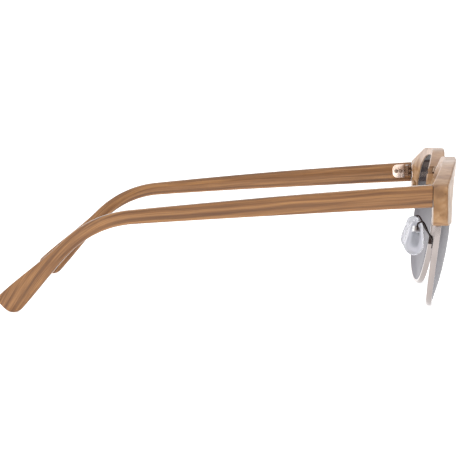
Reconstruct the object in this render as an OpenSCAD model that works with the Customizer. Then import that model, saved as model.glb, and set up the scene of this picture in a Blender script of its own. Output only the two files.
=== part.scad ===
// Browline sunglasses that stand open on a table: two wood brow pieces that carry thin metal
// eyewires, a metal bridge, rocking nose pads and two wood temples on five-knuckle hinges.
// X is across the face, -Y is the wearer's forward and +Z is up. The rims and the temple tips
// rest on Z = 0, and the origin is the middle of the footprint.

/* [Lenses] */
// Width of one lens
lens_w = 49; // [45:0.5:53]
// Height of one lens
lens_h = 46.4; // [43:0.2:49]
// Gap between the two lenses
bridge_gap = 22; // [20:0.5:24]
// Radius of the lens's spherical front
lens_r = 100; // [90:1:110]
// Lens thickness
lens_t = 1.8; // [1.4:0.1:2]
// How square the upper half of the outline is, where 2 is an ellipse
upper_square = 2.55; // [2.3:0.05:2.8]
// How square the lower half of the outline is, where 2 is an ellipse
lower_square = 2.15; // [2:0.05:2.4]
// Lean of the lens plane, top forward, in degrees
front_tilt = 7.2; // [6.4:0.1:8]
// Turn of each lens towards the temple, in degrees
front_wrap = 4.1; // [3:0.1:5]
// Distance of the lens's front ahead of the hinge face
lens_lead = 7.4; // [7:0.1:8]

/* [Eyewires] */
// Thickness of the eyewire around the lens
rim_t = 1.1; // [1:0.05:1.4]
// Depth of the eyewire from front to back
rim_d = 2; // [1.9:0.05:2.4]
// Depth of the groove that holds the lens's edge
groove_d = 0.5; // [0.4:0.05:0.6]
// Depth of the flat that each eyewire stands on
rest_flat = 0.2; // [0.15:0.01:0.25]
// Height of the closing block that joins the eyewire's ends
block_h = 4.4; // [3.8:0.1:5]
// Width of the closing block
block_w = 2; // [1.8:0.1:2.3]
// Direction of the closing block from the lens's centre, in degrees
block_angle = 21; // [19:0.5:23]
// Saw cut between the eyewire's ends
closing_gap = 0.2; // [0.15:0.01:0.3]
// Shaft radius of the closing screw
closing_screw_r = 0.45; // [0.4:0.01:0.5]

/* [Brow pieces] */
// Width over both end pieces
front_w = 140; // [136:0.5:146]
// Depth of the end piece from front to back
end_depth = 4.7; // [4.4:0.1:5.4]
// Rise of the end piece's top over the temple
end_rise = 0.7; // [0.3:0.1:1.2]
// Height of the end piece at its outer face
end_h = 14; // [12:0.2:15]
// Corner radius of the end piece seen from the front
end_round = 1.6; // [1:0.1:2]
// Height of the brow over the lens near the nose
brow_nose_h = 3.8; // [3.6:0.1:4.6]
// Height of the brow over the middle of the lens
brow_mid_h = 2.8; // [2.5:0.1:3.6]
// Height of the brow where it turns to the end piece
brow_turn_h = 6.3; // [5.6:0.1:6.8]
// Height of the brow's lower tip beside the nose
brow_tip_h = 2.1; // [1.9:0.1:2.6]
// Direction of that tip from the lens's centre, in degrees
brow_tip_angle = 149; // [146:0.5:151]
// Depth of the brow over the middle of the lens
brow_depth = 3.9; // [3.5:0.1:4.4]
// Depth of the brow's lower tip
tip_depth = 5.8; // [5.4:0.1:6.4]
// Distance of the brow's nose end ahead of its outer end
nose_lead = 4.7; // [4.4:0.1:5.2]
// Outward curve of the brow's front
brow_bulge = 2.1; // [1.8:0.1:2.4]
// Lean of the brow's front near the nose, top forward, in degrees
brow_tilt = 2; // [0:0.5:4]
// Radius of the brow's long edges
brow_round = 0.6; // [0.3:0.05:0.8]
// Least thickness of wood ahead of the eyewire and over it
front_lip = 0.4; // [0.3:0.05:0.6]
// Thickness of wood behind the eyewire
back_lip = 0.4; // [0.3:0.05:0.6]

/* [Bridge] */
// Height of the bridge bar
bridge_h = 2.4; // [2:0.1:3]
// Depth of the bridge bar
bridge_d = 1.7; // [1.4:0.1:2]
// Rise of the bridge's middle over its ends
bridge_rise = 2; // [1:0.1:3]
// Distance of the bridge's middle ahead of its ends
bridge_bow = 1.8; // [1.2:0.1:2.4]
// Radius of the round lug at each end of the bridge
lug_r = 1.7; // [1.5:0.05:1.9]
// Thickness of the lug
lug_t = 0.8; // [0.6:0.05:1]
// Direction of the lug from the lens's centre, in degrees
lug_angle = 139; // [137:0.5:141]
// Shaft radius of the brow screw
brow_screw_r = 0.5; // [0.45:0.01:0.6]
// Length of the brow screw's shaft in the wood
brow_screw_l = 2.6; // [2:0.1:3]

/* [Hinges] */
// Height of the temple's centre line at the hinge
hinge_z = 39.1; // [37.5:0.1:41]
// Rise of the hinge over that centre line
hinge_lift = 0.5; // [0:0.1:0.8]
// Distance of the hinge pin behind the end piece
pin_back = 1.45; // [1.4:0.05:1.8]
// Outer radius of the knuckles
knuckle_r = 1.25; // [1.1:0.05:1.3]
// Height of one knuckle
knuckle_h = 0.78; // [0.7:0.01:1]
// Number of knuckles, of which the end piece has one more than the temple
knuckles = 5; // [3:2:5]
// Radius of the hinge pin
pin_r = 0.5; // [0.45:0.01:0.6]
// Radius of the pin's head
pin_head_r = 0.95; // [0.8:0.05:1.05]
// Thickness of the hinge leaves
leaf_t = 0.7; // [0.55:0.05:0.8]
// Height of the hinge leaves
leaf_h = 5; // [4.6:0.1:5.4]
// Length of the leaf on the temple, behind its knuckles
temple_leaf_l = 4.5; // [4.3:0.1:6]
// Corner radius of that leaf's rear end
leaf_round = 1.8; // [1.2:0.1:2]
// Distance between the two screws of that leaf
temple_screw_gap = 1.65; // [1.6:0.05:2]
// Width of the leaf on the end piece, inward of the pin
front_leaf_w = 2.95; // [2.85:0.05:3.2]
// Depth that the temple's leaf is let into the wood
leaf_inlay = 0.2; // [0.1:0.05:0.3]
// Shaft radius of the leaf screws
leaf_screw_r = 0.4; // [0.35:0.01:0.45]
// Head radius of the leaf screws
leaf_head_r = 0.75; // [0.65:0.05:0.8]
// Length of the leaf screws in the wood
leaf_screw_l = 2; // [1.6:0.1:2.4]

/* [Temples] */
// Length of the temple's long front part
shaft_l = 98.4; // [90:0.2:106]
// Length of the bend over the ear
bend_l = 24; // [21:0.2:28]
// Length of the tip behind the bend
tip_l = 30; // [27:0.2:33]
// Downward bow of the front part, in degrees
shaft_bow = 1.8; // [1:0.1:3]
// Angle of the tip below the front part, in degrees
bend_angle = 41.5; // [38:0.5:45]
// Height of the temple at the hinge
hinge_h = 7.4; // [6.9:0.1:7.8]
// Height of the temple halfway along its front part
shaft_mid_h = 6.3; // [5.8:0.1:6.8]
// Height of the temple before the bend
shaft_h = 4.7; // [4.2:0.05:5.4]
// Height of the temple after the bend
neck_h = 4.55; // [4:0.05:5]
// Height of the temple at its tip
tip_h = 8.7; // [8.2:0.1:9.4]
// Thickness of the temple at the hinge
temple_t = 4; // [3.6:0.1:4.4]
// Thickness of the temple at its tip
tip_t = 3.4; // [3:0.1:3.8]
// Outward bow of the temple's middle
temple_bow = 2.2; // [0:0.1:3]
// Distance that the tip turns in towards the head
tip_inset = 6; // [4:0.5:12]
// Corner radius of the tip at the back
tip_back_r = 2.3; // [1.4:0.1:2.4]
// Corner radius of the tip at the bottom
tip_heel_r = 4.4; // [3:0.1:4.4]
// Radius of the temple's long edges
temple_round = 1; // [0.6:0.05:1.3]

/* [Nose pads] */
// Height of the nose pad
pad_h = 12.6; // [11.6:0.2:13.6]
// Width of the pad's round lower end
pad_w = 7.5; // [7:0.1:8.2]
// Width of the pad's upper end
pad_top_w = 5; // [4.6:0.1:5.6]
// Thickness of the pad
pad_t = 2.8; // [2.4:0.1:3]
// Distance of the pad's pivot from the middle of the face
pivot_x = 12.2; // [11.8:0.1:12.8]
// Distance of the pivot behind the end piece's back
pivot_y = 2.5; // [2:0.1:3]
// Height of the pivot
pivot_z = 23.6; // [22.8:0.1:24.4]
// Height of the pivot above the middle of the pad
pivot_rise = 2.6; // [2:0.1:2.8]
// Distance of the pad's middle ahead of the pivot
pad_ahead = 1; // [0.4:0.1:1.2]
// Turn of the pads, wider apart at the face, in degrees
pad_splay = 20; // [16:1:24]
// Lean of the pads, closer together at the top, in degrees
pad_lean = 9; // [6:1:12]
// Pitch of the pads, top forward, in degrees
pad_pitch = 12; // [8:1:16]
// Gap between the pad and its box
pad_gap = 0.25; // [0.2:0.05:0.4]
// Width and height of the pad box
box_w = 2; // [1.9:0.05:2.2]
// Radius of the pad arm's wire
wire_r = 0.32; // [0.28:0.01:0.4]
// Rise of the pad arm's loop over the pivot
loop_rise = 2.6; // [2.2:0.1:3]
// Direction of the arm's foot from the lens's centre, in degrees
foot_angle = 194; // [190:1:196]
// Height of the arm's foot on the eyewire
foot_h = 3; // [2.4:0.1:3.4]
// Width of that foot
foot_w = 1; // [0.9:0.05:1.2]
// Thickness of the arm's plate on the pad box
end_plate_t = 0.6; // [0.5:0.05:0.7]
// Thickness of the pad box's walls
cheek_t = 0.35; // [0.3:0.01:0.4]
// Shaft radius of the pad screw
pad_screw_r = 0.3; // [0.25:0.01:0.33]
// Thickness of the plate moulded into the pad
core_t = 0.8; // [0.6:0.05:1]
// Height of that plate
core_h = 7; // [6:0.1:7.6]
// Width of that plate
core_w = 3; // [2.6:0.1:3.4]

/* [Clearances] */
// Gap between a fixed piece and its seat
seat_gap = 0.04; // [0.03:0.01:0.06]
// Radial gap of a turning pin in its bore
run_gap = 0.05; // [0.03:0.01:0.08]
// Gap between knuckles, and of other parts that move past each other
move_gap = 0.08; // [0.06:0.01:0.1]
// Gap between the temple's front end and the end piece
butt_gap = 0.2; // [0.15:0.01:0.3]

/* [Hidden] */

// Colours
wood = [0.63, 0.47, 0.35];
metal = [0.8, 0.77, 0.75];
plate_metal = [0.95, 0.86, 0.8];
dark_metal = [0.25, 0.2, 0.18];
lens_grey = [0.5, 0.49, 0.5, 0.75];
clear_pad = [0.8, 0.83, 0.85, 0.8];

// Facets of round parts, of the lens outline, of a wire's section and of one rounded corner
$fn = 32;
outline_n = 72;
wire_n = 8;
corner_n = 3;
// Sweep points between two guide points
sweep_n = 4;
// Overshoot of cuts past the surface that they open
cut = 0.5;
// Size of the blocks that trim whole sides away
trim = 200;

// Turns about the X and Z axes
function turn_x(p, a) = [p.x, p.y * cos(a) - p.z * sin(a), p.y * sin(a) + p.z * cos(a)];
function turn_z(p, a) = [p.x * cos(a) - p.y * sin(a), p.x * sin(a) + p.y * cos(a), p.z];
function unit(v) = v / norm(v);
function mix(a, b, t) = a + (b - a) * t;
function clamp01(t) = max(0, min(1, t));
function ease(t) = let (c = clamp01(t)) c * c * (3 - 2 * c);

// A smooth line through guide points, with tangents short enough not to overshoot
function tangent(p, i) =
  let (last = len(p) - 1, a = p[max(0, i - 1)], b = p[min(last, i + 1)])
  let (before = i > 0 ? norm(p[i] - a) : norm(b - p[i]), after = i < last ? norm(b - p[i]) : before)
  unit(b - a) * min(before, after);
function hermite(p, i, t) =
  p[i] * (2 * pow(t, 3) - 3 * pow(t, 2) + 1) + tangent(p, i) * (pow(t, 3) - 2 * pow(t, 2) + t)
  + p[i + 1] * (3 * pow(t, 2) - 2 * pow(t, 3)) + tangent(p, i + 1) * (pow(t, 3) - pow(t, 2));
function smooth_line(p, n) =
  [for (i = [0:len(p) - 2]) for (k = [0:n - 1]) hermite(p, i, k / n), p[len(p) - 1]];

// A surface through rings of points, joined into a loop or closed flat at both ends
module skin(rings, loop = false) {
  n = len(rings[0]);
  m = len(rings);
  sides = [
    for (i = [0:(loop ? m - 1 : m - 2)]) for (j = [0:n - 1])
      let (k = (i + 1) % m, l = (j + 1) % n)
      each [[i * n + j, i * n + l, k * n + l], [i * n + j, k * n + l, k * n + j]]
  ];
  ends = loop ? [] : [[for (j = [n - 1:-1:0]) j], [for (j = [0:n - 1]) (m - 1) * n + j]];
  polyhedron(points = [for (r = rings) each r], faces = concat(sides, ends), convexity = 10);
}

// Lens outline, seen square to the lens, at angle f from the temple side over the top
function squareness(f) = mix(lower_square, upper_square, ease((sin(f) + 0.3) / 1.1));
function outline_r(f) =
  let (n = squareness(f))
  pow(pow(abs(cos(f)) * 2 / lens_w, n) + pow(abs(sin(f)) * 2 / lens_h, n), -1 / n);
function outline(f) = outline_r(f) * [cos(f), sin(f)];
function outward(f) = let (d = outline(f + 1) - outline(f - 1)) unit([d.y, -d.x]);
function sag(r) = lens_r - sqrt(pow(lens_r, 2) - pow(r, 2));

// Depth of the eyewire's front and back behind the lens's front at the lens's edge
rim_front = (lens_t - rim_d) / 2;
rim_back = rim_front + rim_d;
rim_mid = lens_t / 2;

// A point of the lens frame: beside the outline at angle f, out by o and back by d
function beside(f, o, d) =
  let (p = outline(f) + outward(f) * o)
  [p.x, sag(outline_r(f)) + d, p.y];
function in_face(p) = turn_z(turn_x(p, front_tilt), front_wrap);

// The lens stands where the eyewire's lowest point is just below the table, to be cut flat
lens_x = (bridge_gap + lens_w) / 2;
step = 360 / outline_n;
rim_low = min([for (f = [0:step:359]) in_face(beside(f, rim_t, rim_front)).z]);
lens_at = [lens_x, -lens_lead, -rim_low - rest_flat];
function rim_point(f, o, d) = in_face(beside(f, o, d)) + lens_at;

module face_frame() {
  translate(lens_at) rotate([front_tilt, 0, front_wrap]) children();
}

// A frame beside the outline at angle f: X points out, Y back and Z along the outline
module beside_frame(f, o, d) {
  n = outward(f);
  face_frame() translate(beside(f, o, d)) rotate([0, -atan2(n.y, n.x), 0]) children();
}

// Front of the brow piece, which leans like the lens near the nose and stands upright outside
half_w = front_w / 2;
nose_x = lens_x - 0.38 * lens_w;
lean_top = lens_at.z + lens_h * 0.55;
function front_y(x, z) =
  let (s = (x - nose_x) / (half_w - nose_x), lean = tan(brow_tilt) * clamp01(1 - s))
  -end_depth - nose_lead * (1 - s) - 4 * brow_bulge * s * (1 - s) - lean * (z - lean_top);
function brow_deep(x) =
  let (s = (x - lens_x) / (half_w - lens_x), n = (lens_x - x) / (lens_w / 2))
  x > lens_x ? mix(brow_depth, end_depth + cut, pow(s, 1.4)) : mix(brow_depth, tip_depth, n * n);
// Share of the broad rounding at the back, which fades out before the end piece
function broad(x) = 1 - ease(4 * (x - lens_x) / lens_w - 1);

// Outer edge of the brow piece as [x, z, angle of the lens edge that it faces]
temple_top = hinge_z + hinge_h / 2;
end_top = temple_top + end_rise;
end_low = end_top - end_h;
end_angle = atan2(end_low - lens_at.z, lens_w / 2);
function brow_edge(f, h) = let (p = rim_point(f, h, 0)) [p.x, p.z, f];
brow_guide = [
  brow_edge(brow_tip_angle, brow_tip_h),
  brow_edge(brow_tip_angle - 10, mix(brow_tip_h, brow_nose_h, 0.7)),
  brow_edge(120, brow_nose_h),
  brow_edge(104, mix(brow_nose_h, brow_mid_h, 0.5)),
  brow_edge(88, brow_mid_h),
  brow_edge(73, brow_mid_h),
  brow_edge(60, mix(brow_mid_h, brow_turn_h, 0.4)),
  brow_edge(48, brow_turn_h),
  [half_w - 1.3 * end_round, end_top, 35],
  [half_w, end_top - end_round, 31],
  [half_w, end_low + end_round, end_angle + 2],
  [half_w - end_round, end_low, end_angle]
];
// Wood starts this far outside the lens's edge
wood_in = 0.1;
// How straight the broad bevel at the back is, where 1 is flat
bevel_flat = 0.8;
// Direction from which the back turns flat towards the end piece, and over how much, in degrees
flat_from = 46;
flat_over = 12;

// Section of the brow piece from the lens's edge to its outer edge, with the eyewire's groove
function brow_ring(row) =
  let (f = row.z, g = seat_gap, p3 = rim_point(f, 0, 0), inner = [p3.x, p3.z])
  let (out = unit([row.x, row.y] - inner), reach = norm([row.x, row.y] - inner))
  let (at = function (d, y) [inner.x + out.x * d, y, inner.y + out.y * d])
  let (face = function (d) front_y(inner.x + out.x * d, inner.y + out.y * d))
  let (step_out = rim_point(f, 1, 0) - p3, n = unit([step_out.x, step_out.z]))
  let (seat = function (o, d) let (p = rim_point(f, o, d)) at(([p.x, p.z] - inner) * n / (out * n), p.y))
  let (a = seat(wood_in, rim_front - g), b = seat(rim_t + g, rim_front - g))
  let (c = seat(rim_t + g, rim_back + g), d = seat(wood_in, rim_back + g))
  let (lip_y = d.y + back_lip, edge_y = face(reach) + brow_deep(row.x))
  let (b1 = broad(row.x), y1 = edge_y - brow_round * (1 - b1))
  let (y2 = mix(edge_y, max(lip_y, edge_y + brow_round), b1))
  let (back_in = mix(brow_round, reach - rim_t - g - front_lip, b1))
  let (mid_y = mix(mix(lip_y, y2, 0.5), cut, ease((flat_from - f) / flat_over)))
  concat(
    [[a.x, min(front_y(a.x, a.z), a.y - front_lip), a.z]],
    [for (k = [0:corner_n]) let (t = 90 * k / corner_n, e = brow_round * (1 - sin(t)))
      at(reach - e, face(reach - e) + brow_round * (1 - cos(t)))],
    [for (k = [corner_n:-1:0]) let (t = 90 * k / corner_n, u = 1 - k / corner_n, flat = bevel_flat * b1)
      at(reach - back_in * mix(1 - sin(t), u, flat), mix(y1, y2, mix(cos(t), u, flat)))],
    [at(mix(wood_in, reach - back_in, 0.5), mid_y), [d.x, lip_y, d.z], d, c, b, a]
  );
brow_rings = [for (row = smooth_line(brow_guide, sweep_n)) brow_ring([min(row.x, half_w), row.y, row.z])];

// Hinge frame of the left side: its Z is the pin and its Y runs back along the temple
pin_x = half_w - temple_t - knuckle_r - seat_gap;
pin_at = [pin_x, pin_back, hinge_z + hinge_lift];

// Temple seen from the side, in a frame that starts level at the hinge: angle and height at t
temple_l = shaft_l + bend_l + tip_l;
temple_marks = [0, shaft_l, shaft_l + bend_l, temple_l];
function temple_angle(t) = lookup(t, [
  [0, 0], [temple_marks[1], shaft_bow], [temple_marks[2], bend_angle], [temple_l, bend_angle]
]);
function temple_height(t) = t > temple_marks[2]
  ? mix(neck_h, tip_h, ease((t - temple_marks[2]) / tip_l))
  : lookup(t, [[0, hinge_h], [shaft_l / 2, shaft_mid_h],
               [temple_marks[1], shaft_h], [temple_marks[2], neck_h]]);
// Distance of the temple's middle from a straight line back, towards the head
function temple_in(t) =
  let (behind = clamp01((t - shaft_l) / (temple_l - shaft_l)), along = clamp01(t / temple_l))
  tip_inset * pow(behind, 1.5) - temple_bow * pow(sin(180 * along), 2);
tip_turns = [for (a = [0:15:90]) temple_l - tip_heel_r * (1 - sin(a))];
temple_stops = concat(
  [-2],
  [for (i = [0:9]) shaft_l * i / 10],
  [for (i = [0:11]) shaft_l + bend_l * i / 12],
  [for (i = [0:4]) mix(shaft_l + bend_l, tip_turns[0], i / 5)],
  tip_turns
);
temple_path = [
  for (i = 0, p = [temple_stops[0], 0]; i < len(temple_stops);
    a = i + 1 < len(temple_stops) ? temple_angle((temple_stops[i] + temple_stops[i + 1]) / 2) : 0,
    p = i + 1 < len(temple_stops) ? p + (temple_stops[i + 1] - temple_stops[i]) * [cos(a), -sin(a)] : p,
    i = i + 1) p
];
// How much a corner of radius r draws in at distance x from the end
function drawn_in(r, x) = x < r ? r - sqrt(r * r - pow(r - x, 2)) : 0;

// Rounded rectangle from -low to high and from -w to w, as [x, height] points
function rounded(low, high, w, r) = [
  for (q = [0:3]) for (k = [0:corner_n]) let (a = 90 * (q + k / corner_n))
    [(w - r) * ((q == 0 || q == 3) ? 1 : -1) + r * cos(a), (q < 2 ? high - r : r - low) + r * sin(a)]
];
function temple_ring(i) =
  let (t = temple_stops[i], a = temple_angle(t), x = temple_l - t, h = temple_height(t) / 2)
  let (w = mix(temple_t, tip_t, clamp01(t / temple_l)) / 2, soft = 0.8 * temple_round)
  let (c = [half_w - temple_t / 2 - temple_in(t), temple_path[i].x, temple_path[i].y])
  let (low = h - drawn_in(tip_heel_r, x), high = h - drawn_in(tip_back_r, x), side = w - drawn_in(soft, x))
  [for (p = rounded(low, high, side, min(temple_round, side))) c + [p.x, p.y * sin(a), p.y * cos(a)]];
level_rings = [for (i = [0:len(temple_stops) - 1]) temple_ring(i)];

// The temple slopes down from the hinge until its tip touches the table
function lowest(a) =
  let (p = [for (r = level_rings) for (q = r) turn_x(q, -a)], z = [for (q = p) q.z], low = min(z))
  [p[search(low, z)[0]].y, low + hinge_z];
function settle(a, n) = n == 0 ? a : let (p = lowest(a)) settle(a + atan2(p.y, p.x), n - 1);
temple_drop = settle(3, 4);
function in_temple(p) = turn_x(p, -temple_drop) + [0, 0, hinge_z];

// The origin is the middle of the footprint
back_y = max([for (r = level_rings) for (q = r) in_temple(q).y]);
front_most_y = min([for (r = brow_rings) for (q = r) q.y]);
middle_y = -(back_y + front_most_y) / 2;

module seated() {
  translate([0, middle_y, 0]) children();
}
module left() {
  seated() children();
}
module right() {
  seated() mirror([1, 0, 0]) children();
}
module hinge_frame() {
  translate(pin_at) rotate([-temple_drop, 0, 0]) children();
}
// A cylinder along Y from y0 to y1
module rod_y(r, y0, y1) {
  translate([0, y0, 0]) rotate([-90, 0, 0]) cylinder(r = r, h = y1 - y0);
}
// A cylinder along X from x0 to x1
module rod_x(r, x0, x1) {
  translate([x0, 0, 0]) rotate([0, 90, 0]) cylinder(r = r, h = x1 - x0);
}
module box(low, high) {
  translate(low) cube(high - low);
}

// Lens, with a bevel around its edge that sits in the eyewire's groove
bevel = groove_d + 0.1;
lens_back_r = lens_r - lens_t;
function lens_back(r) = lens_t + lens_back_r - sqrt(pow(lens_back_r, 2) - pow(r, 2));
module lens() {
  edge = -seat_gap;
  rows = [
    for (f = [0:step:359]) let (
      p = outline(f), e = beside(f, edge, 0), b = outline_r(f)
    ) [
      [p.x * 0.5, sag(b * 0.5), p.y * 0.5],
      [e.x, e.y, e.z],
      beside(f, edge, rim_mid - bevel / 2),
      beside(f, groove_d - seat_gap, rim_mid),
      beside(f, edge, rim_mid + bevel / 2),
      [e.x, lens_back(b), e.z],
      [p.x * 0.5, lens_back(b * 0.5), p.y * 0.5]
    ]
  ];
  n = len(rows);
  k = len(rows[0]);
  front = n * k;
  faces = [
    for (i = [0:n - 1]) let (j = (i + 1) % n) each concat(
      [[front, j * k, i * k], [front + 1, i * k + k - 1, j * k + k - 1]],
      [for (q = [0:k - 2]) each [[i * k + q, j * k + q, i * k + q + 1],
                                 [j * k + q, j * k + q + 1, i * k + q + 1]]]
    )
  ];
  color(lens_grey) face_frame()
    polyhedron(points = concat([for (r = rows) each r], [[0, 0, 0], [0, lens_t, 0]]),
      faces = faces, convexity = 4);
}

// Eyewire: a grooved loop round the lens, cut open at the closing block
rim_section = [
  [0, rim_front], [0, rim_mid - bevel / 2], [groove_d, rim_mid], [0, rim_mid + bevel / 2],
  [0, rim_back], [rim_t, rim_back], [rim_t, rim_front]
];
block_in = 0.3;
block_out = rim_t + block_w;
module eyewire() {
  color(metal) difference() {
    union() {
      skin([for (f = [0:step:359]) [for (s = rim_section) rim_point(f, s.x, s.y)]], loop = true);
      beside_frame(block_angle, 0, 0)
        box([rim_t - block_in, rim_front + 0.1, -block_h / 2], [block_out, rim_back - 0.1, block_h / 2]);
    }
    beside_frame(block_angle, 0, 0) {
      box([-cut, rim_front - cut, -closing_gap / 2], [block_out + cut, rim_back + cut, closing_gap / 2]);
      translate([rim_t + block_w / 2, rim_mid, -block_h / 2 - cut])
        cylinder(r = closing_screw_r + seat_gap, h = block_h + 2 * cut);
    }
    box([-trim, -trim, -trim], [trim, trim, 0]);
  }
}
// Closing screw, driven from below, with its head against the lower half of the block
module eyewire_screw() {
  head_h = 0.5;
  color(metal) beside_frame(block_angle, 0, 0) translate([rim_t + block_w / 2, rim_mid, -block_h / 2])
    difference() {
      union() {
        cylinder(r = closing_screw_r, h = block_h);
        translate([0, 0, -head_h - seat_gap]) cylinder(r = closing_screw_r * 1.9, h = head_h);
        translate([0, 0, -2 * seat_gap]) cylinder(r = closing_screw_r, h = 3 * seat_gap);
      }
      box([-0.12, -2, -head_h - cut], [0.12, 2, -head_h + 0.15]);
    }
}

// Seats in the brow piece
module hinge_leaf_seat(gap) {
  hinge_frame() box(
    [-front_leaf_w - gap, -pin_back - leaf_t - gap, -leaf_h / 2 - gap],
    [knuckle_r + gap, -pin_back * 0.5, leaf_h / 2 + gap]
  );
}
module front_screw_places() {
  hinge_frame() for (z = [-1, 1]) translate([-front_leaf_w + leaf_head_r + 0.1, -pin_back, z * leaf_h / 4])
    children();
}
lug_out = mix(rim_t, brow_nose_h, 0.5);
module lug_frame() {
  beside_frame(lug_angle, lug_out, rim_back + seat_gap) children();
}
module closing_block_seat() {
  head_room = 1.4;
  beside_frame(block_angle, 0, 0) {
    box([0, rim_front - 2 * seat_gap, -block_h / 2 - 0.1], [block_out + 0.1, trim / 10, block_h / 2 + 0.1]);
    box([rim_t, rim_front - 2 * seat_gap, -block_h / 2 - head_room - 6],
      [block_out + 0.1, trim / 10, -block_h / 2]);
  }
}
module brow() {
  color(wood) difference() {
    skin(brow_rings);
    box([-trim, 0, -trim], [trim, trim, trim]);
    hinge_leaf_seat(seat_gap);
    front_screw_places() rod_y(leaf_screw_r + seat_gap, -leaf_t - leaf_screw_l - seat_gap, 0);
    closing_block_seat();
    lug_frame() {
      rod_y(lug_r + seat_gap, 0, 6);
      rod_y(brow_screw_r + seat_gap, -brow_screw_l - seat_gap, 0.1);
    }
  }
}
// Screw through the bridge's lug into the brow piece
module brow_screw() {
  head_t = 0.4;
  color(metal) lug_frame() difference() {
    union() {
      rod_y(brow_screw_r, -brow_screw_l, lug_t + 2 * seat_gap);
      rod_y(brow_screw_r * 2, lug_t + seat_gap, lug_t + seat_gap + head_t);
    }
    box([-0.12, lug_t + head_t - 0.1, -2], [0.12, lug_t + head_t + cut, 2]);
  }
}

// Bridge: a bowed bar between two round lugs behind the eyewires
lug_at = rim_point(lug_angle, lug_out, rim_back + seat_gap + lug_t / 2);
bar_end = [lug_at.x - lug_r * 0.4, lug_at.y, lug_at.z];
function bridge_ring(s) =
  let (x = bar_end.x * s, rise = 1 - s * s, w = mix(1, 0.8, s * s))
  let (c = [x, bar_end.y - bridge_bow * rise, bar_end.z + bridge_rise * rise])
  let (slope = atan(2 * bridge_rise * s / bar_end.x), d = mix(bridge_d, lug_t * 0.95, pow(abs(s), 3)) / 2)
  [for (p = rounded(bridge_h * w / 2, bridge_h * w / 2, d, d * 0.7))
    c + [p.y * sin(slope), -p.x - p.y * tan(front_tilt) * s * s, p.y * cos(slope)]];
module bridge() {
  color(metal) seated() difference() {
    union() {
      skin([for (i = [-10:10]) bridge_ring(i / 10)]);
      lug_frame() rod_y(lug_r, 0, lug_t);
      mirror([1, 0, 0]) lug_frame() rod_y(lug_r, 0, lug_t);
    }
    lug_frame() rod_y(brow_screw_r + seat_gap, -3, 3);
    mirror([1, 0, 0]) lug_frame() rod_y(brow_screw_r + seat_gap, -3, 3);
  }
}

// Knuckle number i from the bottom, of which the end piece has those with even numbers
hinge_h_all = knuckles * knuckle_h;
function knuckle_low(i) = -hinge_h_all / 2 + i * knuckle_h;
module knuckle(i, gap) {
  translate([0, 0, knuckle_low(i) + (i > 0 ? gap / 2 : 0)])
    cylinder(r = knuckle_r, h = knuckle_h - (i > 0 ? gap / 2 : 0) - (i < knuckles - 1 ? gap / 2 : 0));
}
module web(i, gap, low, high) {
  z = knuckle_low(i) + (i > 0 ? gap / 2 : 0);
  h = knuckle_h - (i > 0 ? gap / 2 : 0) - (i < knuckles - 1 ? gap / 2 : 0);
  translate([low.x, low.y, z]) cube([high.x - low.x, high.y - low.y, h]);
}
module front_hinge() {
  color(plate_metal) difference() {
    union() {
      hinge_frame() {
        box([-front_leaf_w, -pin_back - leaf_t, -leaf_h / 2], [knuckle_r, -pin_back * 0.55, leaf_h / 2]);
        for (i = [0:2:knuckles - 1]) {
          knuckle(i, move_gap);
          web(i, move_gap, [-knuckle_r, -pin_back - leaf_t / 2], [knuckle_r, 0]);
        }
      }
    }
    // The leaf is flush with the end piece's back, which is upright
    difference() {
      box([0, 0, -trim], [trim, trim, trim]);
      hinge_frame() for (i = [0:2:knuckles - 1]) {
        web(i, move_gap, [-knuckle_r, -pin_back - leaf_t], [knuckle_r, 0]);
        knuckle(i, move_gap);
      }
    }
    hinge_frame() translate([0, 0, -hinge_h_all]) cylinder(r = pin_r + seat_gap / 2, h = 2 * hinge_h_all);
    front_screw_places() {
      rod_y(leaf_screw_r + seat_gap, -leaf_t - cut, cut);
    }
  }
}
module front_hinge_screws() {
  color(metal) front_screw_places() difference() {
    union() {
      rod_y(leaf_screw_r, -leaf_t - leaf_screw_l, 0.2);
      rod_y(leaf_head_r, 0.15, 0.4);
    }
    box([-0.1, 0.3, -2], [0.1, cut, 2]);
  }
}
// Pin of the hinge, screwed into the lowest knuckle, with its head on the highest
module hinge_pin() {
  head_h = 0.45;
  color(metal) hinge_frame() difference() {
    union() {
      translate([0, 0, -hinge_h_all / 2]) cylinder(r = pin_r, h = hinge_h_all + 2 * seat_gap);
      translate([0, 0, hinge_h_all / 2 + seat_gap]) cylinder(r = pin_head_r, h = head_h);
    }
    translate([0, 0, hinge_h_all / 2 + head_h - 0.1]) box([-2, -0.13, 0], [2, 0.13, cut]);
  }
}

// Leaf on the temple, with rounded rear corners
leaf_y = knuckle_r + 2 * move_gap;
leaf_x = knuckle_r + seat_gap - leaf_t + leaf_inlay;
module temple_leaf_shape(gap) {
  x0 = leaf_x - gap;
  x1 = leaf_x + leaf_t + gap;
  corner_y = leaf_y + temple_leaf_l - leaf_round;
  corner_z = leaf_h / 2 - leaf_round;
  box([x0, leaf_y - gap, -leaf_h / 2 - gap], [x1, corner_y, leaf_h / 2 + gap]);
  box([x0, corner_y - leaf_round / 2, -corner_z], [x1, corner_y + leaf_round + gap, corner_z]);
  for (z = [-1, 1]) translate([0, corner_y, z * corner_z]) rod_x(leaf_round + gap, x0, x1);
}
module temple_screw_places() {
  for (i = [0, 1]) translate([leaf_x, leaf_y + leaf_head_r + leaf_t + i * temple_screw_gap, 0]) children();
}
module temple_hinge() {
  color(plate_metal) hinge_frame() difference() {
    union() {
      temple_leaf_shape(0);
      for (i = [1:2:knuckles - 2]) {
        knuckle(i, move_gap);
        web(i, move_gap, [0, 0], [knuckle_r, leaf_y + 0.1]);
      }
    }
    translate([0, 0, -hinge_h_all]) cylinder(r = pin_r + run_gap, h = 2 * hinge_h_all);
    temple_screw_places() rod_x(leaf_screw_r + seat_gap, -cut, leaf_t + cut);
  }
}
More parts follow.
